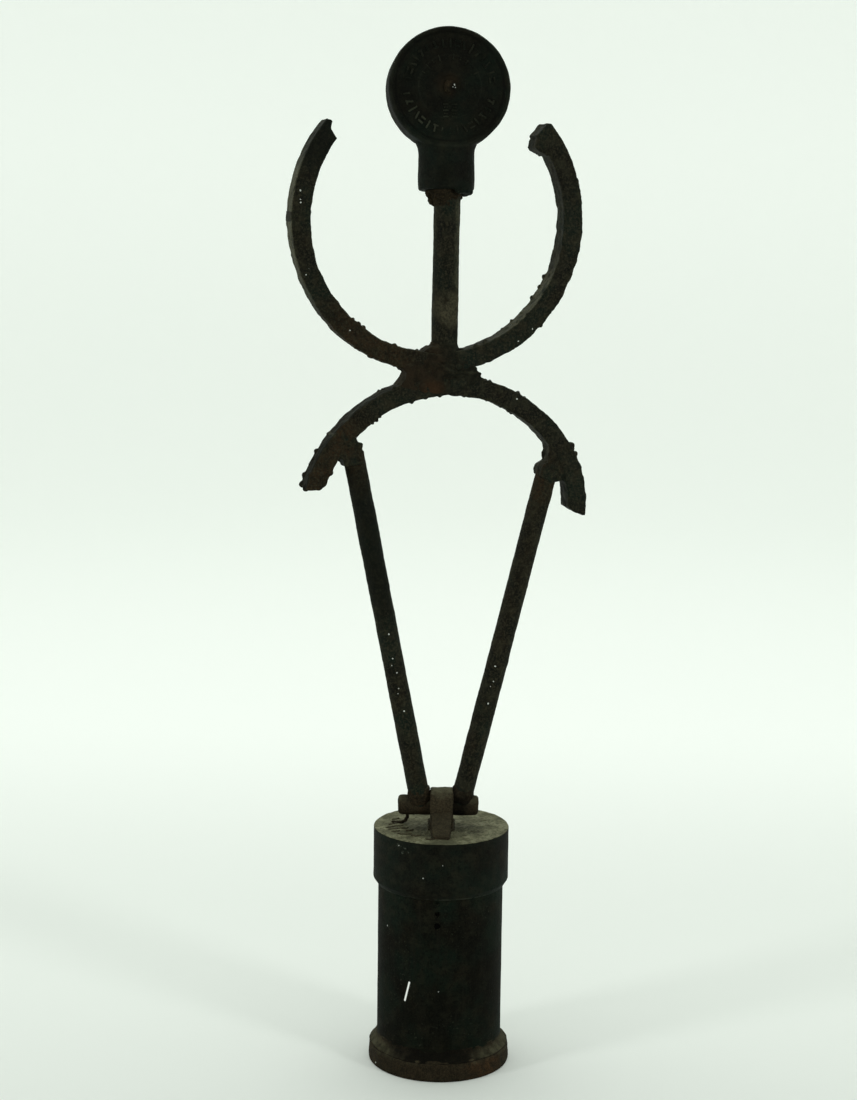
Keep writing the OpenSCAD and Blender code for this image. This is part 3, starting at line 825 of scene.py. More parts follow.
def rib():
    """The rib in front of the lug, narrower at its foot, which runs forward over the cap."""
    reach = np.array([p @ lug_y for p in cad_points("lug_rib")])
    front, back = reach.min(), reach.max()
    low, high = cap_top - 0.5 * mm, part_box("lug_rib")[1].z - 3.4 * mm
    side = soft_outline(
        [(front, low), (front + 0.8 * mm, low + 3 * mm), (front + 6.5 * mm, low + 6.0 * mm),
         (back - 1.6 * mm, high + 0.5 * mm), (back + 3 * mm, high + 3 * mm), (back + 5 * mm, low)],
        1.6 * mm, 0.8 * mm, closed=True)
    rows = []
    for x in np.linspace(-0.5, 0.5, 12):
        row = []
        for y, z in side:
            rise = (z - low) / (high - low)
            wide = (9.2 + 2.6 * rise) * mm
            row.append(lug_x * (x - 0.06 * (1 - rise)) * wide + lug_y * y + (0, 0, z))
        rows.append(row)
    chips = [at(-3.4, -18, 145.0), at(-1.6, -20, 142.9)]
    paint = rusty_iron("rib_rust", 0.12, 0.05, None, chips, pale=0.24)
    fused("rib", "rusty_iron", paint, "lug_rib", [loft(rows)], 0.55, 4,
          [(6, 0.35, 24), (2.4, 0.24, 25), (1.3, 0.1, 26)])


def lug_bead():
    """The weld round the foot of the lug and along the rib."""
    reach = np.array([p @ lug_y for p in cad_points("lug_rib")])
    front, half, eye = reach.min(), 6.9 * mm, 10.5 * mm
    loop = [(-half, eye), (-half, -eye), (-5.6 * mm, -eye - 1 * mm), (-4.9 * mm, front + 1.6 * mm),
            (3.9 * mm, front + 1.6 * mm), (5.0 * mm, -eye - 1 * mm), (half, -eye), (half, eye), (-half, eye)]
    path = [lug_x * x + lug_y * y + (0, 0, cap_top + 0.1 * mm) for x, y in loop]
    fused("lug_bead", "rusty_weld", rusty_iron("lug_bead_rust", 0.25, 0.05), "lug_weld",
          bead(path, 1.0 * mm, 31, flat=0.8), 0.42, 2, [(2.2, 0.15, 27)])


def round_bar(name, start, end, radius, seed, rounding, wear=1.0):
    """A round bar with broken ends and scale, a little out of true."""
    start, end = np.array(start), np.array(end)
    length = np.linalg.norm(end - start)
    axis = (end - start) / length
    u, v = across(axis)
    corners = [(0.3 * mm, 0), (radius, 0), (radius, length), (0.3 * mm, length)]
    outline = soft_outline(corners, rounding, 0.95 * mm)
    circle = evenly(44)[:, None]
    ring = np.cos(circle) * u + np.sin(circle) * v
    mesh = mesh_of(name, *loft([start + axis * z + ring * r for r, z in outline]))
    return roughen(mesh, [(24, 0.18 * wear, seed), (6, 0.14 * wear, seed + 1),
                          (2.2, 0.1 * wear, seed + 2), (1.2, 0.05 * wear, seed + 3)])


def tommy_bar():
    dark = near_point(right_foot + lug_x * -3 * mm, 12 * mm)
    paint = rusty_iron("bar_rust", 0.3, 0.25, soot_and_shade=dark, pale=0.15)
    mesh = round_bar("tommy_bar", bar_left, bar_right, bar_r, 41, 3.2 * mm, 1.6)
    piece("tommy_bar", mesh, "figure", "rusty_iron", paint, "tommy_bar")


LEG_CHIPS = {
    "left": ((0.28, 1.0), (0.33, -0.5), (0.345, 0.4), (0.39, 1.2), (0.41, -1.0), (0.43, 0.2), (0.5, 0.8)),
    "right": ((0.31, 0.5), (0.36, -0.6), (0.375, 0.3), (0.42, -1.0), (0.62, 2.2))}


def legs():
    for side, low, high, seed in (("left", left_foot, left_top, 45), ("right", right_foot, right_top, 49)):
        mesh = round_bar(side + "_leg", low, high, leg_r, seed, 0.8 * mm)
        weld = near_point(high, 30 * mm)
        front = np.array([-0.27, -0.96, 0]) * leg_r
        chips = [low + (high - low) * t + front + lug_x * x * mm for t, x in LEG_CHIPS[side]]
        dark = near_point(low + (high - low) * 0.75, 60 * mm) if side == "left" else None
        paint = bar_iron(side + "_leg_iron", 0.35, weld, chips, soot_and_shade=dark)
        piece(side + "_leg", mesh, "figure", "forged_bar", paint, side + "_leg")


def ankles():
    """Welds that join the legs to the tommy bar, and a run on the left that has dripped on the cap."""
    for side, low, high, seed in (("left", left_foot, left_top, 61), ("right", right_foot, right_top, 67)):
        axis = (high - low) / np.linalg.norm(high - low)
        flare = [(1.5, 7.4), (4, 7.6), (6.5, 7.0), (9, 6.4), (12.5, 5.7)]
        solids = [collar(low, axis, flare, 0.9)]
        chance = np.random.default_rng(seed)
        for _ in range(22):
            bearing, rise = chance.uniform(0, tau), chance.uniform(3.5, 9.5)
            u, v = across(axis)
            reach = (6.7 - 0.13 * rise) * mm
            place = low + axis * rise * mm + (u * cos(bearing) + v * sin(bearing)) * reach
            solids.append(blob(place, chance.uniform(0.8, 1.8, 3) * mm))
        towards = -lug_x if side == "right" else lug_x
        solids += bead([low + axis * 6 * mm + towards * 4 * mm, low + axis * 5.2 * mm + towards * 8 * mm],
                       2.3 * mm, seed + 2)
        dark = near_point(low, 14 * mm) if side == "right" else None
        metal = rusty_iron(side + "_ankle_rust", 0.12, 0.15, soot_and_shade=dark)
        fused(side + "_ankle", "rusty_weld", metal, side + "_ankle_weld", solids, 0.45, 5,
              [(4, 0.35, seed), (1.5, 0.24, seed + 1)])
    top = cap_top
    path = [bar_left + lug_x * 5.6 * mm - (0, 0, bar_r - 0.6 * mm), (-18.6 * mm, 8 * mm, top + 3.4 * mm),
            (-19.6 * mm, 9.6 * mm, top + 1.2 * mm), (-22.4 * mm, 9.4 * mm, top + 0.4 * mm),
            (-25.0 * mm, 11.6 * mm, top + 0.3 * mm), (-27.0 * mm, 11.4 * mm, top + 0.2 * mm)]
    fused("weld_drip", "rusty_weld", rusty_iron("drip_rust", 0.1, 0.1), None,
          bead(path, 1.0 * mm, 71, 0.7 * mm), 0.35, 1, [(2, 0.15, 72)])


def cap_flakes():
    """Thin flakes of scale and dirt that lift off the cap's top on the left."""
    chance = np.random.default_rng(77)
    solids = []
    for x, y, long, turn in ((-33, 3, 5, 0.4), (-29, -1, 6, 0.1), (-26.5, -12, 7, -0.2), (-31, 9, 5, 0.5),
                             (-22, -6, 4, 0.3), (-27, 4, 4, -0.4), (-20, -17, 5, 0.0), (-15, -26, 4, -0.3),
                             (-24, 18, 4, 0.3), (-30, -6, 4, 0.2), (-23, -1, 4, -0.1)):
        arc = [(x + long * t, y + 2.2 * t * t - 1 + chance.normal(0, 0.25))
               for t in np.linspace(-0.5, 0.5, 9)]
        for px, py in arc:
            place = np.array([px * cos(turn) - (py - y) * sin(turn) * 0.5, py + (px - x) * sin(turn), 0]) * mm
            place[2] = cap_top + 0.1 * mm
            solids.append(blob(place, at(0.9, 0.55, 0.6)))
    dirt = rusty_iron("flake_dirt", 0.45, 0.05, pale=0.4)
    fused("cap_flakes", "blackened_iron", dirt, None, solids, 0.3, 1, [(1.2, 0.15, 78)])


# The bent flat bars of the hips and arms

def strap_section():
    """The flat bar's section, from its middle: across the radius, and front to back."""
    t, w = strap_t / 2, strap_w / 2
    return soft_outline([(-t, -w), (t, -w), (t, w), (-t, w)], 1.5 * mm, 1.15 * mm, closed=True)


def strap(name, centre, first, last, radius, seed, ends=(((0, 0),), ((0, 0),)), bend=None, lumps_on=(),
          wear=1.0, extra=()):
    """A flat bar bent on edge. ends says, for shares from its inside to its outside, how many degrees each
    end runs past the plain cut. bend moves it outwards at an angle. lumps_on gives the lumps that cling to
    it: (angle, share, depth, radius) in degrees and millimetres."""
    section = strap_section()
    length = abs(last - first) * radius
    count = int(length / (1.2 * mm)) + 1
    rows = []
    for share in np.linspace(0, 1, count):
        row = []
        for r, y in section:
            out = 0.5 + r / strap_t
            angle = first + (last - first) * share
            for table, near in zip(ends, (share, 1 - share)):
                fade = max(0.0, 1 - near * length / (9 * mm))
                angle += radians(np.interp(out, *zip(*table))) * fade
            reach = radius + r + (bend(angle) if bend else 0)
            row.append(on_ring(centre, reach, angle, y))
        rows.append(row)
    solids = [loft(rows), *extra]
    for angle, share, depth, size in lumps_on:
        reach = radius + (share - 0.5) * strap_t + (bend(radians(angle)) if bend else 0)
        solids.append(blob(on_ring(centre, reach, radians(angle), depth * mm), (size * mm,) * 3))
    mesh = fuse(name, solids, 0.6 * mm, 1)
    return roughen(mesh, [(12, 0.42 * wear, seed), (4.2, 0.34 * wear, seed + 1),
                          (2.1, 0.22 * wear, seed + 2), (1.3, 0.08 * wear, seed + 3)])


def scatter(first, last, count, seed, largest=1.3):
    """Lumps of slag at random along a bar, mostly on its edges."""
    chance = np.random.default_rng(seed)
    found = []
    for _ in range(count):
        share = chance.choice((0.0, 1.0, chance.uniform(0, 1)))
        depth = chance.uniform(-7.5, 7.5) if share in (0.0, 1.0) else chance.choice((-7.5, 7.5))
        found.append((chance.uniform(first, last), share, depth, chance.uniform(0.6, largest)))
    return found


def hips():
    """The flat bar bent to a half ring over the legs."""
    radius = (hip_in + hip_out) / 2
    first, last = span_of("hip_arch", hip_centre)

    def bend(angle):
        return -3.6 * mm * max(0.0, 1 - (angle - first) / radians(26)) ** 1.5

    placed_lumps = [(32, 1.0, -4, 2.6), (30.5, 1.0, 0, 2.8), (33, 1.0, 4, 2.4), (28.5, 1.0, -5, 1.8),
                    (112, 1.0, -6, 1.2), (62, 1.0, -5, 1.3), (61, 1.0, -1, 1.0), (124, 0.0, -6, 1.4),
                    (121.5, 0.0, -2, 1.2), (107, 0.0, -6, 1.1), (149, 0.95, 5, 1.9), (152, 0.95, 2, 1.7),
                    (154, 0.05, -5, 1.9), (157, 0.15, 0, 2.2), (159, 0.93, 6, 2.0), (160.5, 0.6, -5.5, 2.4),
                    (161, 0.3, -3, 2.6), (161.5, 0.8, 3, 2.8), (162.5, 0.95, 5, 2.2), (158, 0.95, -6, 1.8),
                    (160, 0.35, 4, 2.6), (156, 0.5, -7, 1.8), (153, 0.3, -7, 1.6), (163, 0.9, -3, 2.2)]
    mesh = strap("hip_arch", hip_centre, first, last, radius, 81,
                 (((0, 3.8), (0.4, 1.0), (1, -0.9)), ((0, -3.2), (0.35, 0.4), (0.8, 1.2), (1, 0.9))), bend,
                 placed_lumps + scatter(40, 162, 46, 3))
    weld = near_point(on_ring(hip_centre, radius, radians(150)), 36 * mm)

    def outer(paint):
        return near_point(on_ring(hip_centre, hip_out, radians(148)), 70 * mm)(paint) * paint.sides()

    paint = bar_iron("hip_iron", 0.4, weld, soot_and_shade=outer, chips=[at(39, -7.6, 391), at(-77, -7.6, 360)])
    piece("hip_arch", mesh, "figure", "forged_bar", paint, "hip_arch")


def arms():
    """The flat bar bent to a C, and the two forearms welded on to it, the right one with a fist."""
    radius = (arm_in + arm_out) / 2
    weld = near_point(on_ring(arm_centre, radius, radians(240)), 42 * mm)
    chips = [(x * mm, -7.7 * mm, z * mm) for x, z in (
        (-87.1, 505.7), (-87.1, 500.9), (-86.9, 499.3), (-83.6, 460.3), (-82.3, 463.6), (-59.0, 430.0),
        (47.5, 430.4), (37.6, 427.7), (39.1, 423.6), (54.8, 522.3))]

    # Painted highlight on the straps' side faces, on the left arm and on the right arm's inner part.
    def rubbed_and_highlight(paint):
        outer = near_point(at(-90, -7, 500), 60 * mm)(paint)
        inner = near_point(at(50, -7, 440), 36 * mm)(paint)
        return outer.highest(inner) * paint.sides()

    hand = near_point(at(-78, -7.5, 536), 24 * mm)
    iron_paint = bar_iron("arm_iron", 0.3, weld, chips, rubbed_and_highlight, hand)
    first, last = span_of("lower_arms", arm_centre)
    placed_lumps = [(234, 0.0, -5, 1.5), (231, 0.0, -6, 1.2), (242, 1.0, -6, 1.6), (243.5, 1.0, -2, 1.3),
                    (250, 0.0, -6, 1.2), (288, 0.0, -5, 1.5), (293, 0.0, -4, 1.5), (316, 1.0, -6, 1.4),
                    (330, 0.0, 5, 1.5), (335, 0.0, 6, 1.4), (324, 0.0, 6, 1.3), (310, 0.0, 6, 1.3)]
    mesh = strap("lower_arms", arm_centre, first, last, radius, 85,
                 lumps_on=placed_lumps + scatter(205, 345, 60, 4, 1.2))
    piece("lower_arms", mesh, "figure", "forged_bar", iron_paint, "lower_arms")
    first, last = span_of("left_forearm", arm_centre)
    mesh = strap("left_forearm", arm_centre, first, last, radius, 89,
                 (((0, 4.4), (0.5, 3.0), (0.62, 2.6), (0.75, 0.2), (1, 0.8)), ((0, 0),)), wear=0.7)
    piece("left_forearm", mesh, "figure", "forged_bar", iron_paint, "left_forearm")
    first, last = span_of("right_forearm", arm_centre)
    fist = [(54.0, 526.8), (48.6, 529.6), (47.3, 531.2), (47.9, 535.4), (52.4, 540.8), (54.9, 544.6),
            (57.0, 543.6), (59.6, 540.4), (63.4, 533.6), (60.6, 528.6)]
    mesh = strap("right_forearm", arm_centre, first, last, radius, 93,
                 (((0, 0),), ((0, -0.6), (0.35, -0.3), (0.6, 0.1), (0.85, 0.4), (1, -0.6))), wear=0.8,
                 extra=[plate(fist, strap_w - 0.6 * mm)])
    piece("right_forearm", mesh, "figure", "forged_bar", iron_paint, "right_forearm")


def strap_slug(centre, first, last, grow):
    """A short length of the flat bar's section, a little larger than the bar, to be fused."""
    radius = (arm_in + arm_out) / 2
    size = np.array([1 + grow / (strap_t / 2), 1 + grow / (strap_w / 2)])
    return loft([[on_ring(centre, radius + r, angle, y) for r, y in strap_section() * size]
                 for angle in np.linspace(first, last, 9)])


def elbows():
    """Filler in the gaps between the lengths of the arms, proud of the bar here and there."""
    metal = bar_iron("elbow_iron", 0.5)
    for side, seed in (("left", 101), ("right", 111)):
        first, last = span_of(side + "_elbow_weld", arm_centre)
        solids = [strap_slug(arm_centre, first + radians(0.8), last - radians(0.8), 0.12 * mm)]
        if side == "left":
            bumps = [(177.0, 0.2, -4, 3.2), (175.5, 0.18, 0, 3.0), (177.5, 0.2, 4, 3.2),
                     (178.5, 0.4, -5.6, 2.8), (179.5, 0.6, -5.8, 2.5), (180, 0.8, 2, 2.6)]
        else:
            bumps = [(a, 0.8, y, 3.4) for a in (16.0, 14.0, 12.0, 10.0, 8.0) for y in (-4, 0, 4)]
            bumps += [(8, 0.3, -5.8, 2.4), (11, 0.6, -5.8, 2.5)]
        for angle, share, depth, size in bumps:
            place = on_ring(arm_centre, arm_in + share * strap_t, radians(angle), depth * mm)
            solids.append(blob(place, (size * mm,) * 3))
        fused(side + "_elbow", "rusty_weld", metal, side + "_elbow_weld", solids, 0.5, 2,
              [(4, 0.25, seed + 6), (1.4, 0.14, seed + 7)])


def lumpy(outline, depth, count, size, seed):
    """A slab with lumps of weld metal over its faces and round its outline."""
    chance = np.random.default_rng(seed)
    outline = np.array(outline, float)
    centre = outline.mean(0)
    solids = [plate(outline, depth)]
    for _ in range(count):
        k = chance.integers(len(outline))
        corner = outline[k] + (outline[(k + 1) % len(outline)] - outline[k]) * chance.uniform()
        spot = centre + (corner - centre) * chance.uniform(0.15, 0.93)
        front = chance.choice((-1, 1)) * (depth / 2 - size * 0.55)
        solids.append(blob((spot[0] * mm, front, spot[1] * mm), size * chance.uniform(0.7, 1.2, 3)))
    return solids


def hip_welds():
    """Lumps of weld between the tops of the legs and the inside of the arch."""
    metal = bar_iron("hip_weld_iron", 0.9)
    left = [(-50.9, 364.6), (-53.6, 369.0), (-55.0, 373.2), (-50.6, 376.6), (-56.5, 381.0), (-68.5, 371.5),
            (-66.4, 358.4), (-62.0, 358.6), (-60.6, 353.6), (-49.4, 355.8)]
    right = [(54.6, 351.4), (56.6, 353.6), (60.0, 354.6), (59.9, 361.0), (59.2, 364.0), (63.5, 367.0),
             (70.5, 358.2), (68.6, 343.2), (65.2, 342.4), (62.6, 342.4), (61.0, 341.7), (54.4, 346.2)]
    for name, outline, thinner, lump, seed in (("left_hip_weld", left, 1.2 * mm, 2.1 * mm, 121),
                                               ("right_hip_weld", right, 1.4 * mm, 2.0 * mm, 131)):
        fused(name, "rusty_weld", metal, name, lumpy(outline, strap_w - thinner, 26, lump, seed), 0.55, 6,
              [(6, 0.5, seed + 1), (2.2, 0.32, seed + 2), (1.2, 0.12, seed + 3)])


def hub_weld():
    """The filler between the arms' ring and the hip arch, hollow at both sides and spread over both bars."""
    outline = [(-30.5, 410.0), (-25.2, 406.3), (-26.6, 402.8), (-30.4, 398.6), (-24.0, 396.6), (-15.0, 394.6),
               (2.0, 394.6), (12.0, 398.6), (22.0, 400.8), (18.0, 402.9), (15.2, 405.7), (15.6, 408.4),
               (9.0, 413.0), (3.8, 415.5), (-14.0, 416.5), (-24.0, 413.6)]
    solids = lumpy(outline, strap_w + 0.2 * mm, 60, 2.6 * mm, 141)
    groove = [(-8, -8.0, 410.5), (-3, -8.2, 407.2), (2, -8.2, 405.4), (9, -8.1, 405.0), (17, -7.7, 405.6)]
    for side, seed in ((1, 143), (-1, 144)):
        solids += bead([at(x, side * y, z) for x, y, z in groove], 1.25 * mm, seed)
    fused("hub_weld", "rusty_weld", hub_paint("hub_rust"), "hub_weld", solids, 0.6, 5,
          [(6, 0.4, 181), (2.4, 0.34, 182), (1.3, 0.14, 183)])


def collar(foot_at, axis, rings, squash=1.0):
    """A flared ring of metal round a bar: rows of (distance along the bar, radius), to be fused."""
    u, v = across(np.array(axis, float))
    circle = evenly(48)[:, None]
    ring = np.cos(circle) * u + np.sin(circle) * v * squash
    return loft([np.array(foot_at) + np.array(axis) * z * mm + ring * r * mm for z, r in rings])


def torso():
    """The round bar of the torso, with a painted highlight down its right side and a paler rust stain low
    down, and the weld at its foot.
    """
    mesh = round_bar("torso_rod", torso_foot, torso_top, torso_r, 191, 0.8 * mm, 0.8)
    stain = near_point((torso_foot[0] + 2 * mm, -5 * mm, neck_z - 65 * mm), 12 * mm)
    right_side = torso_foot[0] + 6.8 * mm

    # Painted highlight: a pale strip down the rod's right side; with it, the rust stain low down made paler.
    def highlight_and_stain(paint):
        low, high = [(right_side, -4 * mm, neck_z - down * mm) for down in (50, 8)]
        strip = paint.line(low, high, 8.5 * mm)
        return (strip * paint.grain(9, 3).step(0.25, 0.6) * 0.5).highest(stain(paint) * 0.55)

    paint = bar_iron("torso_iron", 0.2, stain, pale=highlight_and_stain)
    piece("torso_rod", mesh, "figure", "forged_bar", paint, "torso_rod")
    outline = [(-20.5, 415.0), (-15.8, 418.0), (-11.4, 420.6), (6.4, 419.6), (10.0, 417.8), (15.0, 417.2),
               (14.0, 412.0), (-18.0, 411.5)]
    solids = lumpy(outline, 12.6 * mm, 30, 1.7 * mm, 195)
    flare = [(0, 10.0), (5, 9.3), (8, 8.4), (10.8, 7.4)]
    solids.append(collar((torso_foot[0], 0, 412 * mm), (0, 0, 1), flare))
    fused("torso_weld", "rusty_weld", hub_paint("torso_weld_rust"), "torso_weld", solids, 0.55, 3,
          [(5, 0.4, 198), (1.8, 0.25, 199)])


def neck():
    """A lumpy rusty collar of weld where the rod goes into the head, heavier on the left."""
    start = np.array([torso_foot[0] - 0.6 * mm, 0, neck_z - 8.5 * mm])
    solids = [collar(start, (0, 0, 1), [(0, 7.3), (1.8, 7.6), (4, 8.0), (6.5, 8.9), (9.5, 9.9)], 0.94)]
    chance = np.random.default_rng(201)
    for _ in range(34):
        bearing, rise = chance.uniform(0, tau), chance.uniform(1.5, 8.2)
        reach = (6.6 + 0.38 * rise + (0.9 if cos(bearing) < 0 else 0)) * mm
        place = start + np.array([reach * cos(bearing), reach * 0.92 * sin(bearing), rise * mm])
        solids.append(blob(place, chance.uniform(0.9, 1.9, 3) * mm))
    fused("neck_weld", "rusty_weld", rusty_iron("neck_rust", 0.1, 0.12), "neck_weld", solids, 0.45, 1,
          [(4, 0.35, 206), (1.4, 0.22, 207)])


# The cast head, its marks and its screw

screw_back, screw_front, screw_r = rod_of("head_screw")
if screw_back[1] < screw_front[1]:
    screw_back, screw_front = screw_front, screw_back
face_out = (screw_front - screw_back) / np.linalg.norm(screw_front - screw_back)
head_r = (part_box("head_casting")[1].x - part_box("head_casting")[0].x) / 2
face_side = np.cross(face_out, (0, 0, 1))
face_side /= -np.linalg.norm(face_side)
face_up = np.cross(face_out, face_side)
face_up *= np.sign(face_up[2])
SCREW_HEAD, FACE_DEEP, HEAD_THICK = 1.6 * mm, 1.2 * mm, 21 * mm
rim_centre = screw_front - face_out * (SCREW_HEAD - FACE_DEEP)


def on_face(right, up, out=0.0):
    """A point on the head: to the right and up across its face, and out from its rim's plane."""
    return rim_centre + face_side * right + face_up * up + face_out * out


def turned(outline, count=200):
    """Rows about the head's own axis, for an outline of (radius, distance out from the rim's plane)."""
    angles = evenly(count)
    return [[on_face(r * cos(a), r * sin(a), out) for a in angles] for r, out in outline]


def head():
    """The disc with its rim, recessed face and boss, and the socket that runs up into it."""
    inner = head_r - 3.4 * mm
    edge = head_r - 0.35 * mm
    face = -FACE_DEEP - 0.3 * mm
    outline = soft_outline(
        [(0.3 * mm, face), (6.4 * mm, face), (7.0 * mm, face + 0.9 * mm), (8.2 * mm, face + 0.9 * mm),
         (8.8 * mm, face), (16.6 * mm, face), (17.0 * mm, face + 0.5 * mm), (17.9 * mm, face + 0.5 * mm),
         (18.3 * mm, face), (inner - 1.2 * mm, face), (inner, 0), (edge - 0.8 * mm, 0), (edge, -2.0 * mm),
         (edge, -HEAD_THICK + 3 * mm), (edge - 2.8 * mm, -HEAD_THICK), (0.3 * mm, -HEAD_THICK)],
        0.9 * mm, 0.7 * mm)
    start = np.array([torso_foot[0], 0, neck_z]) + face_up * 0.2 * mm
    u, v = face_side, face_out
    socket = [(0, 15.0, 15.0), (0.8, 15.6, 15.6), (6, 15.9, 15.7), (14, 15.6, 15.6), (20, 15.5, 15.4),
              (23, 15.9, 14.6), (26, 17.2, 12.4), (29, 19.6, 10.4), (33, 23.0, 9.6), (37, 22.0, 9.4)]
    rows = [[start + face_up * rise * mm + (u * cos(a) * wide + v * sin(a) * deep) * mm for a in evenly(120)]
            for rise, wide, deep in socket]
    lip = [blob(start + u * x * mm + v * y * mm - face_up * 1.0 * mm, at(3.4, 3.0, 1.9))
           for x, y in ((6.5, 11), (9.2, 9.2), (11.2, 5.5), (11.7, 0.5), (10.8, -5))]
    disc = np.array(turned(outline))
    rise = (disc - rim_centre) @ face_up
    disc -= face_up * (rise * 0.014 + 0.4 * mm)[..., None]
    mesh = fuse("head", [loft(disc), loft(rows)] + lip, 0.45 * mm, 2)
    chipped = start - u * 15.5 * mm + v * 3 * mm

    def chip(points):
        """Takes a bite out of the socket's lower left edge."""
        gap = np.linalg.norm(points - chipped, axis=1)
        return np.clip(1 - gap / (5.0 * mm), 0, 1)

    roughen(mesh, [(14, 0.16, 211), (3.5, 0.1, 212), (1.4, 0.06, 213)])
    roughen(mesh, [(2.6, 1.3, 214)], chip)
    piece("head", mesh, "figure", "cast_head", head_cast(), "head_casting")


def mark(right, up, turn, long, wide, rise):
    """One rounded raised bar on the face."""
    base = -FACE_DEEP - 0.2 * mm
    axes = Matrix(np.c_[face_side, face_up, face_out])
    solids = []
    for along in np.linspace(-long / 2, long / 2, max(2, int(long / (0.5 * mm)))):
        place = on_face(right + along * cos(turn), up + along * sin(turn), base)
        solids.append(blob(place, (wide / 2, wide / 2, rise), axes))
    return solids


def ring_mark(ring, angle, lean, long, wide, rise):
    """A mark at a radius and a bearing from straight up, leaning from the radius."""
    return mark(ring * sin(angle), ring * cos(angle), pi / 2 - angle + lean, long, wide, rise)


# Worn marks in turn: bars of (distance out from the ring, length, lean from the radius), in mm and radians
MARKS = (((0, 3.8, 0),), ((-1.3, 2.2, pi / 2), (1.3, 2.2, pi / 2)), ((0, 3.6, 0.35),),
         ((-1.6, 1.3, 0), (1.2, 2.4, 0)), ((0, 3.2, -0.3), (1.6, 1.8, pi / 2)), ((0.4, 3.0, 0),),
         ((-1.5, 2.0, pi / 2), (0.8, 2.2, 0.2)))


def face_marks():
    """Plain worn bars and dots in rings that stand for raised lettering without spelling any."""
    reach = np.array([(p - rim_centre) @ face_up for p in cad_points("face_marks")]).max()
    middle = reach - 2.3 * mm
    chance = np.random.default_rng(17)
    solids = []
    for k in range(36):
        if k in (9, 10, 27):
            continue
        angle = tau * (k + chance.uniform(-0.12, 0.12)) / 36
        rise = chance.uniform(0.75, 1.1) * mm
        for out, long, lean in MARKS[k % 7]:
            solids += ring_mark(middle + out * mm, angle, lean, long * mm, 1.2 * mm, rise)
    for k in range(26):
        angle = tau * (k + 0.5) / 26
        if 6 < k < 19:
            continue
        ring = middle - 7.5 * mm + chance.uniform(-0.3, 0.3) * mm
        solids += ring_mark(ring, angle, 0, (2.6, 1.2)[k % 2] * mm, 0.9 * mm, 0.7 * mm)
    for row in (-2.2, 2.6):
        for k in range(5):
            long = (2.4, 1.3)[k % 2] * mm
            solids += mark(row * mm, (-9.5 - 1.7 * k) * mm, 0, long, 0.9 * mm, 0.7 * mm)
    fused("face_marks", "cast_head", marks_worn(), "face_marks", solids, 0.28, 2, [(2, 0.12, 221)])


def head_screw():
    """A rusty pin in a rusty hollow in the middle of the face, with three painted glints."""
    outline = soft_outline([(0.2 * mm, FACE_DEEP * 0.4), (1.7 * mm, FACE_DEEP * 0.3), (screw_r, 0),
                            (screw_r, -6 * mm), (0.2 * mm, -6 * mm)], 0.8 * mm, 0.4 * mm)
    # Painted glints: three white points on the screw.
    glints = [Vector(on_face(x * mm, y * mm, 0.3 * mm)) for x, y in ((2.3, 0.9), (1.4, -0.4), (2.9, -0.6))]
    dark = near_point(on_face(2.2 * mm, -0.6 * mm), 3.4 * mm)
    paint = rusty_iron("screw_rust", 0.0, 0.1, None, glints, soot_and_shade=dark)
    fused("head_screw", "rusty_iron", paint, "head_screw", [loft(turned(outline, 60))], 0.3, 1,
          [(2.2, 0.35, 231), (0.9, 0.14, 232)])


for make in (pipe, foot, foot_fillet, sealing_ring, cap, lug, rib, lug_bead, tommy_bar, legs, ankles,
             cap_flakes, hips, arms, elbows, hip_welds, hub_weld, torso, neck, head, face_marks, head_screw):
    make()


# ---------------------------------------------------------------- floor, lights and camera

CAMERA_TURN = radians(-16)
CAMERA_SIDE, CAMERA_AWAY, CAMERA_HEIGHT = -9.6 * mm, 1.2022, 497.6 * mm
CAMERA_DOWN, CAMERA_ROLL, LENS = radians(9.15), radians(0.74), 69.64
FLOOR_R, SWEEP_R, WALL_TOP = 2.2, 1.6, 3.2
PAPER, PAPER_SHADE, PAPER_NEAR_SHADE = (0.775, 0.82, 0.77), (0.755, 0.8, 0.75), (0.36, 0.38, 0.36)
PAPER_GLOW = (0.9, 0.925, 0.9)


def towards(bearing, distance, height):
    """A place at a bearing from the figure: 0 is towards the camera, 90 to the camera's right."""
    angle = radians(bearing)
    x, y = sin(angle) * distance, -cos(angle) * distance
    turn_cos, turn_sin = cos(CAMERA_TURN), sin(CAMERA_TURN)
    return Vector((x * turn_cos - y * turn_sin, x * turn_sin + y * turn_cos, height))


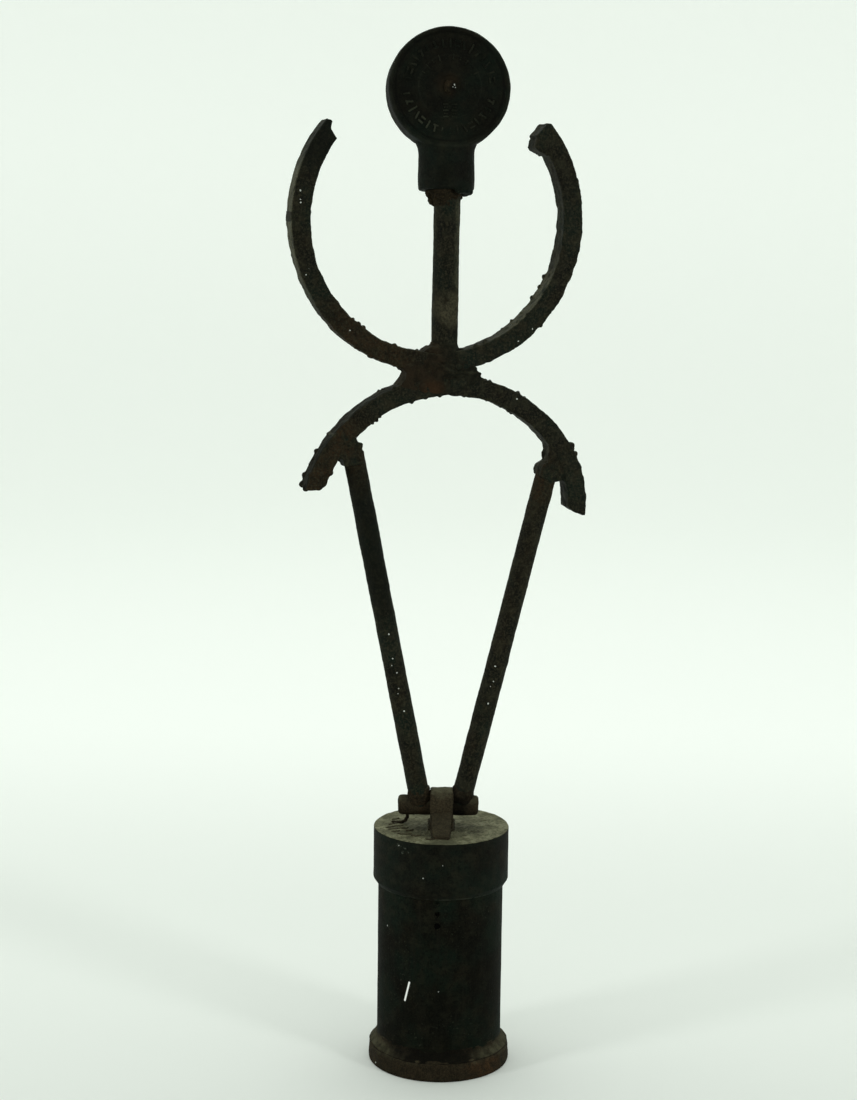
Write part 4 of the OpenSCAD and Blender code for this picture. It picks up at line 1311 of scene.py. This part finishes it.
def stage():
    """A pale floor that sweeps up all round into a wall, with painted shade darkening it towards the camera,
    and painted light that makes the far side and the upper wall glow.
    """
    outline = [(r, 0) for r in np.linspace(0.05, FLOOR_R, 18)]
    outline += [(FLOOR_R + SWEEP_R * sin(a), SWEEP_R * (1 - cos(a))) for a in np.linspace(0.1, pi / 2, 16)]
    outline.append((FLOOR_R + SWEEP_R, WALL_TOP))
    points, faces = lathe(outline, evenly(96))
    faces = [f for f in faces if len(f) == 4 or len(points) - 2 in f]
    mesh = mesh_of("sweep", points, [tuple(reversed(f)) for f in faces])
    mesh.shade_smooth()
    sweep = placed(bpy.data.objects.new("sweep", mesh))
    paint = Paint("sweep_paper")
    tooth = paint.grain(30, 3)
    ahead = towards(180, 1, 0)
    far = paint.vector("DOT_PRODUCT", paint.place, ahead, "Value")
    paper = paint.mix(tooth * 0.2, PAPER, PAPER_SHADE)
    # Painted shade: the paper darkens towards the camera.
    paint.colour = paint.mix(far.step(-1.25, 0.12), PAPER_NEAR_SHADE, paper)
    # Painted light: the far side and the upper wall glow.
    share = 0.18 * far.step(-0.15, 0.2) + 0.52 * far.step(0.2, 0.85) + 0.3 * paint.part("Z").step(0.0, 0.7)
    paint.give(paint.shader.inputs["Emission Color"], paint.mix(share, (0, 0, 0), PAPER_GLOW))
    paint.shader.inputs["Emission Strength"].default_value = 0.3
    sweep.data.materials.append(paint.finish(0.9 + 0.05 * tooth, gloss=0.0))


def lamp(name, place, aim, size, power):
    """A rectangular lamp, its size in metres and its power in watts."""
    light = bpy.data.lights.new(name, "AREA")
    light.shape = "RECTANGLE"
    light.size, light.size_y = size
    light.energy = power
    obj = placed(bpy.data.objects.new(name, light))
    obj.location = place
    obj.rotation_euler = (Vector(aim) - Vector(place)).to_track_quat("-Z", "Y").to_euler()


def lights():
    """A wide lamp over the far side, two small ones in front for glints, and an even studio glow."""
    lamp("overhead", towards(180, 0.9, 2.3), (0, 0, 0.1), (2.2, 1.6), 13)
    lamp("right_box", towards(50, 2.0, 0.62), (0, 0, 0.15), (0.35, 0.35), 13)
    lamp("left_box", towards(-59, 2.0, 0.58), (0, 0, 0.15), (0.35, 0.35), 13)
    world = bpy.data.worlds.new("studio")
    world.use_nodes = True
    glow = world.node_tree.nodes["Background"].inputs
    glow["Color"].default_value = (0.97, 1.0, 0.965, 1)
    glow["Strength"].default_value = 0.72
    bpy.context.scene.world = world


def camera():
    """The viewing place: 1.2 m away, looking down a little from the figure's left, a shade out of level."""
    eye = placed(bpy.data.objects.new("camera", bpy.data.cameras.new("camera")))
    turn = Matrix.Rotation(CAMERA_TURN, 4, "Z")
    tilt = Matrix.Rotation(pi / 2 - CAMERA_DOWN, 4, "X")
    roll = Matrix.Rotation(CAMERA_ROLL, 4, "Z")
    eye.matrix_world = turn @ Matrix.Translation((CAMERA_SIDE, -CAMERA_AWAY, CAMERA_HEIGHT)) @ tilt @ roll
    eye.data.lens = LENS
    eye.data.sensor_width = 36
    eye.data.clip_start, eye.data.clip_end = 0.05, 20
    bpy.context.scene.camera = eye


stage()
lights()
camera()
bpy.context.scene.view_settings.view_transform = "Standard"
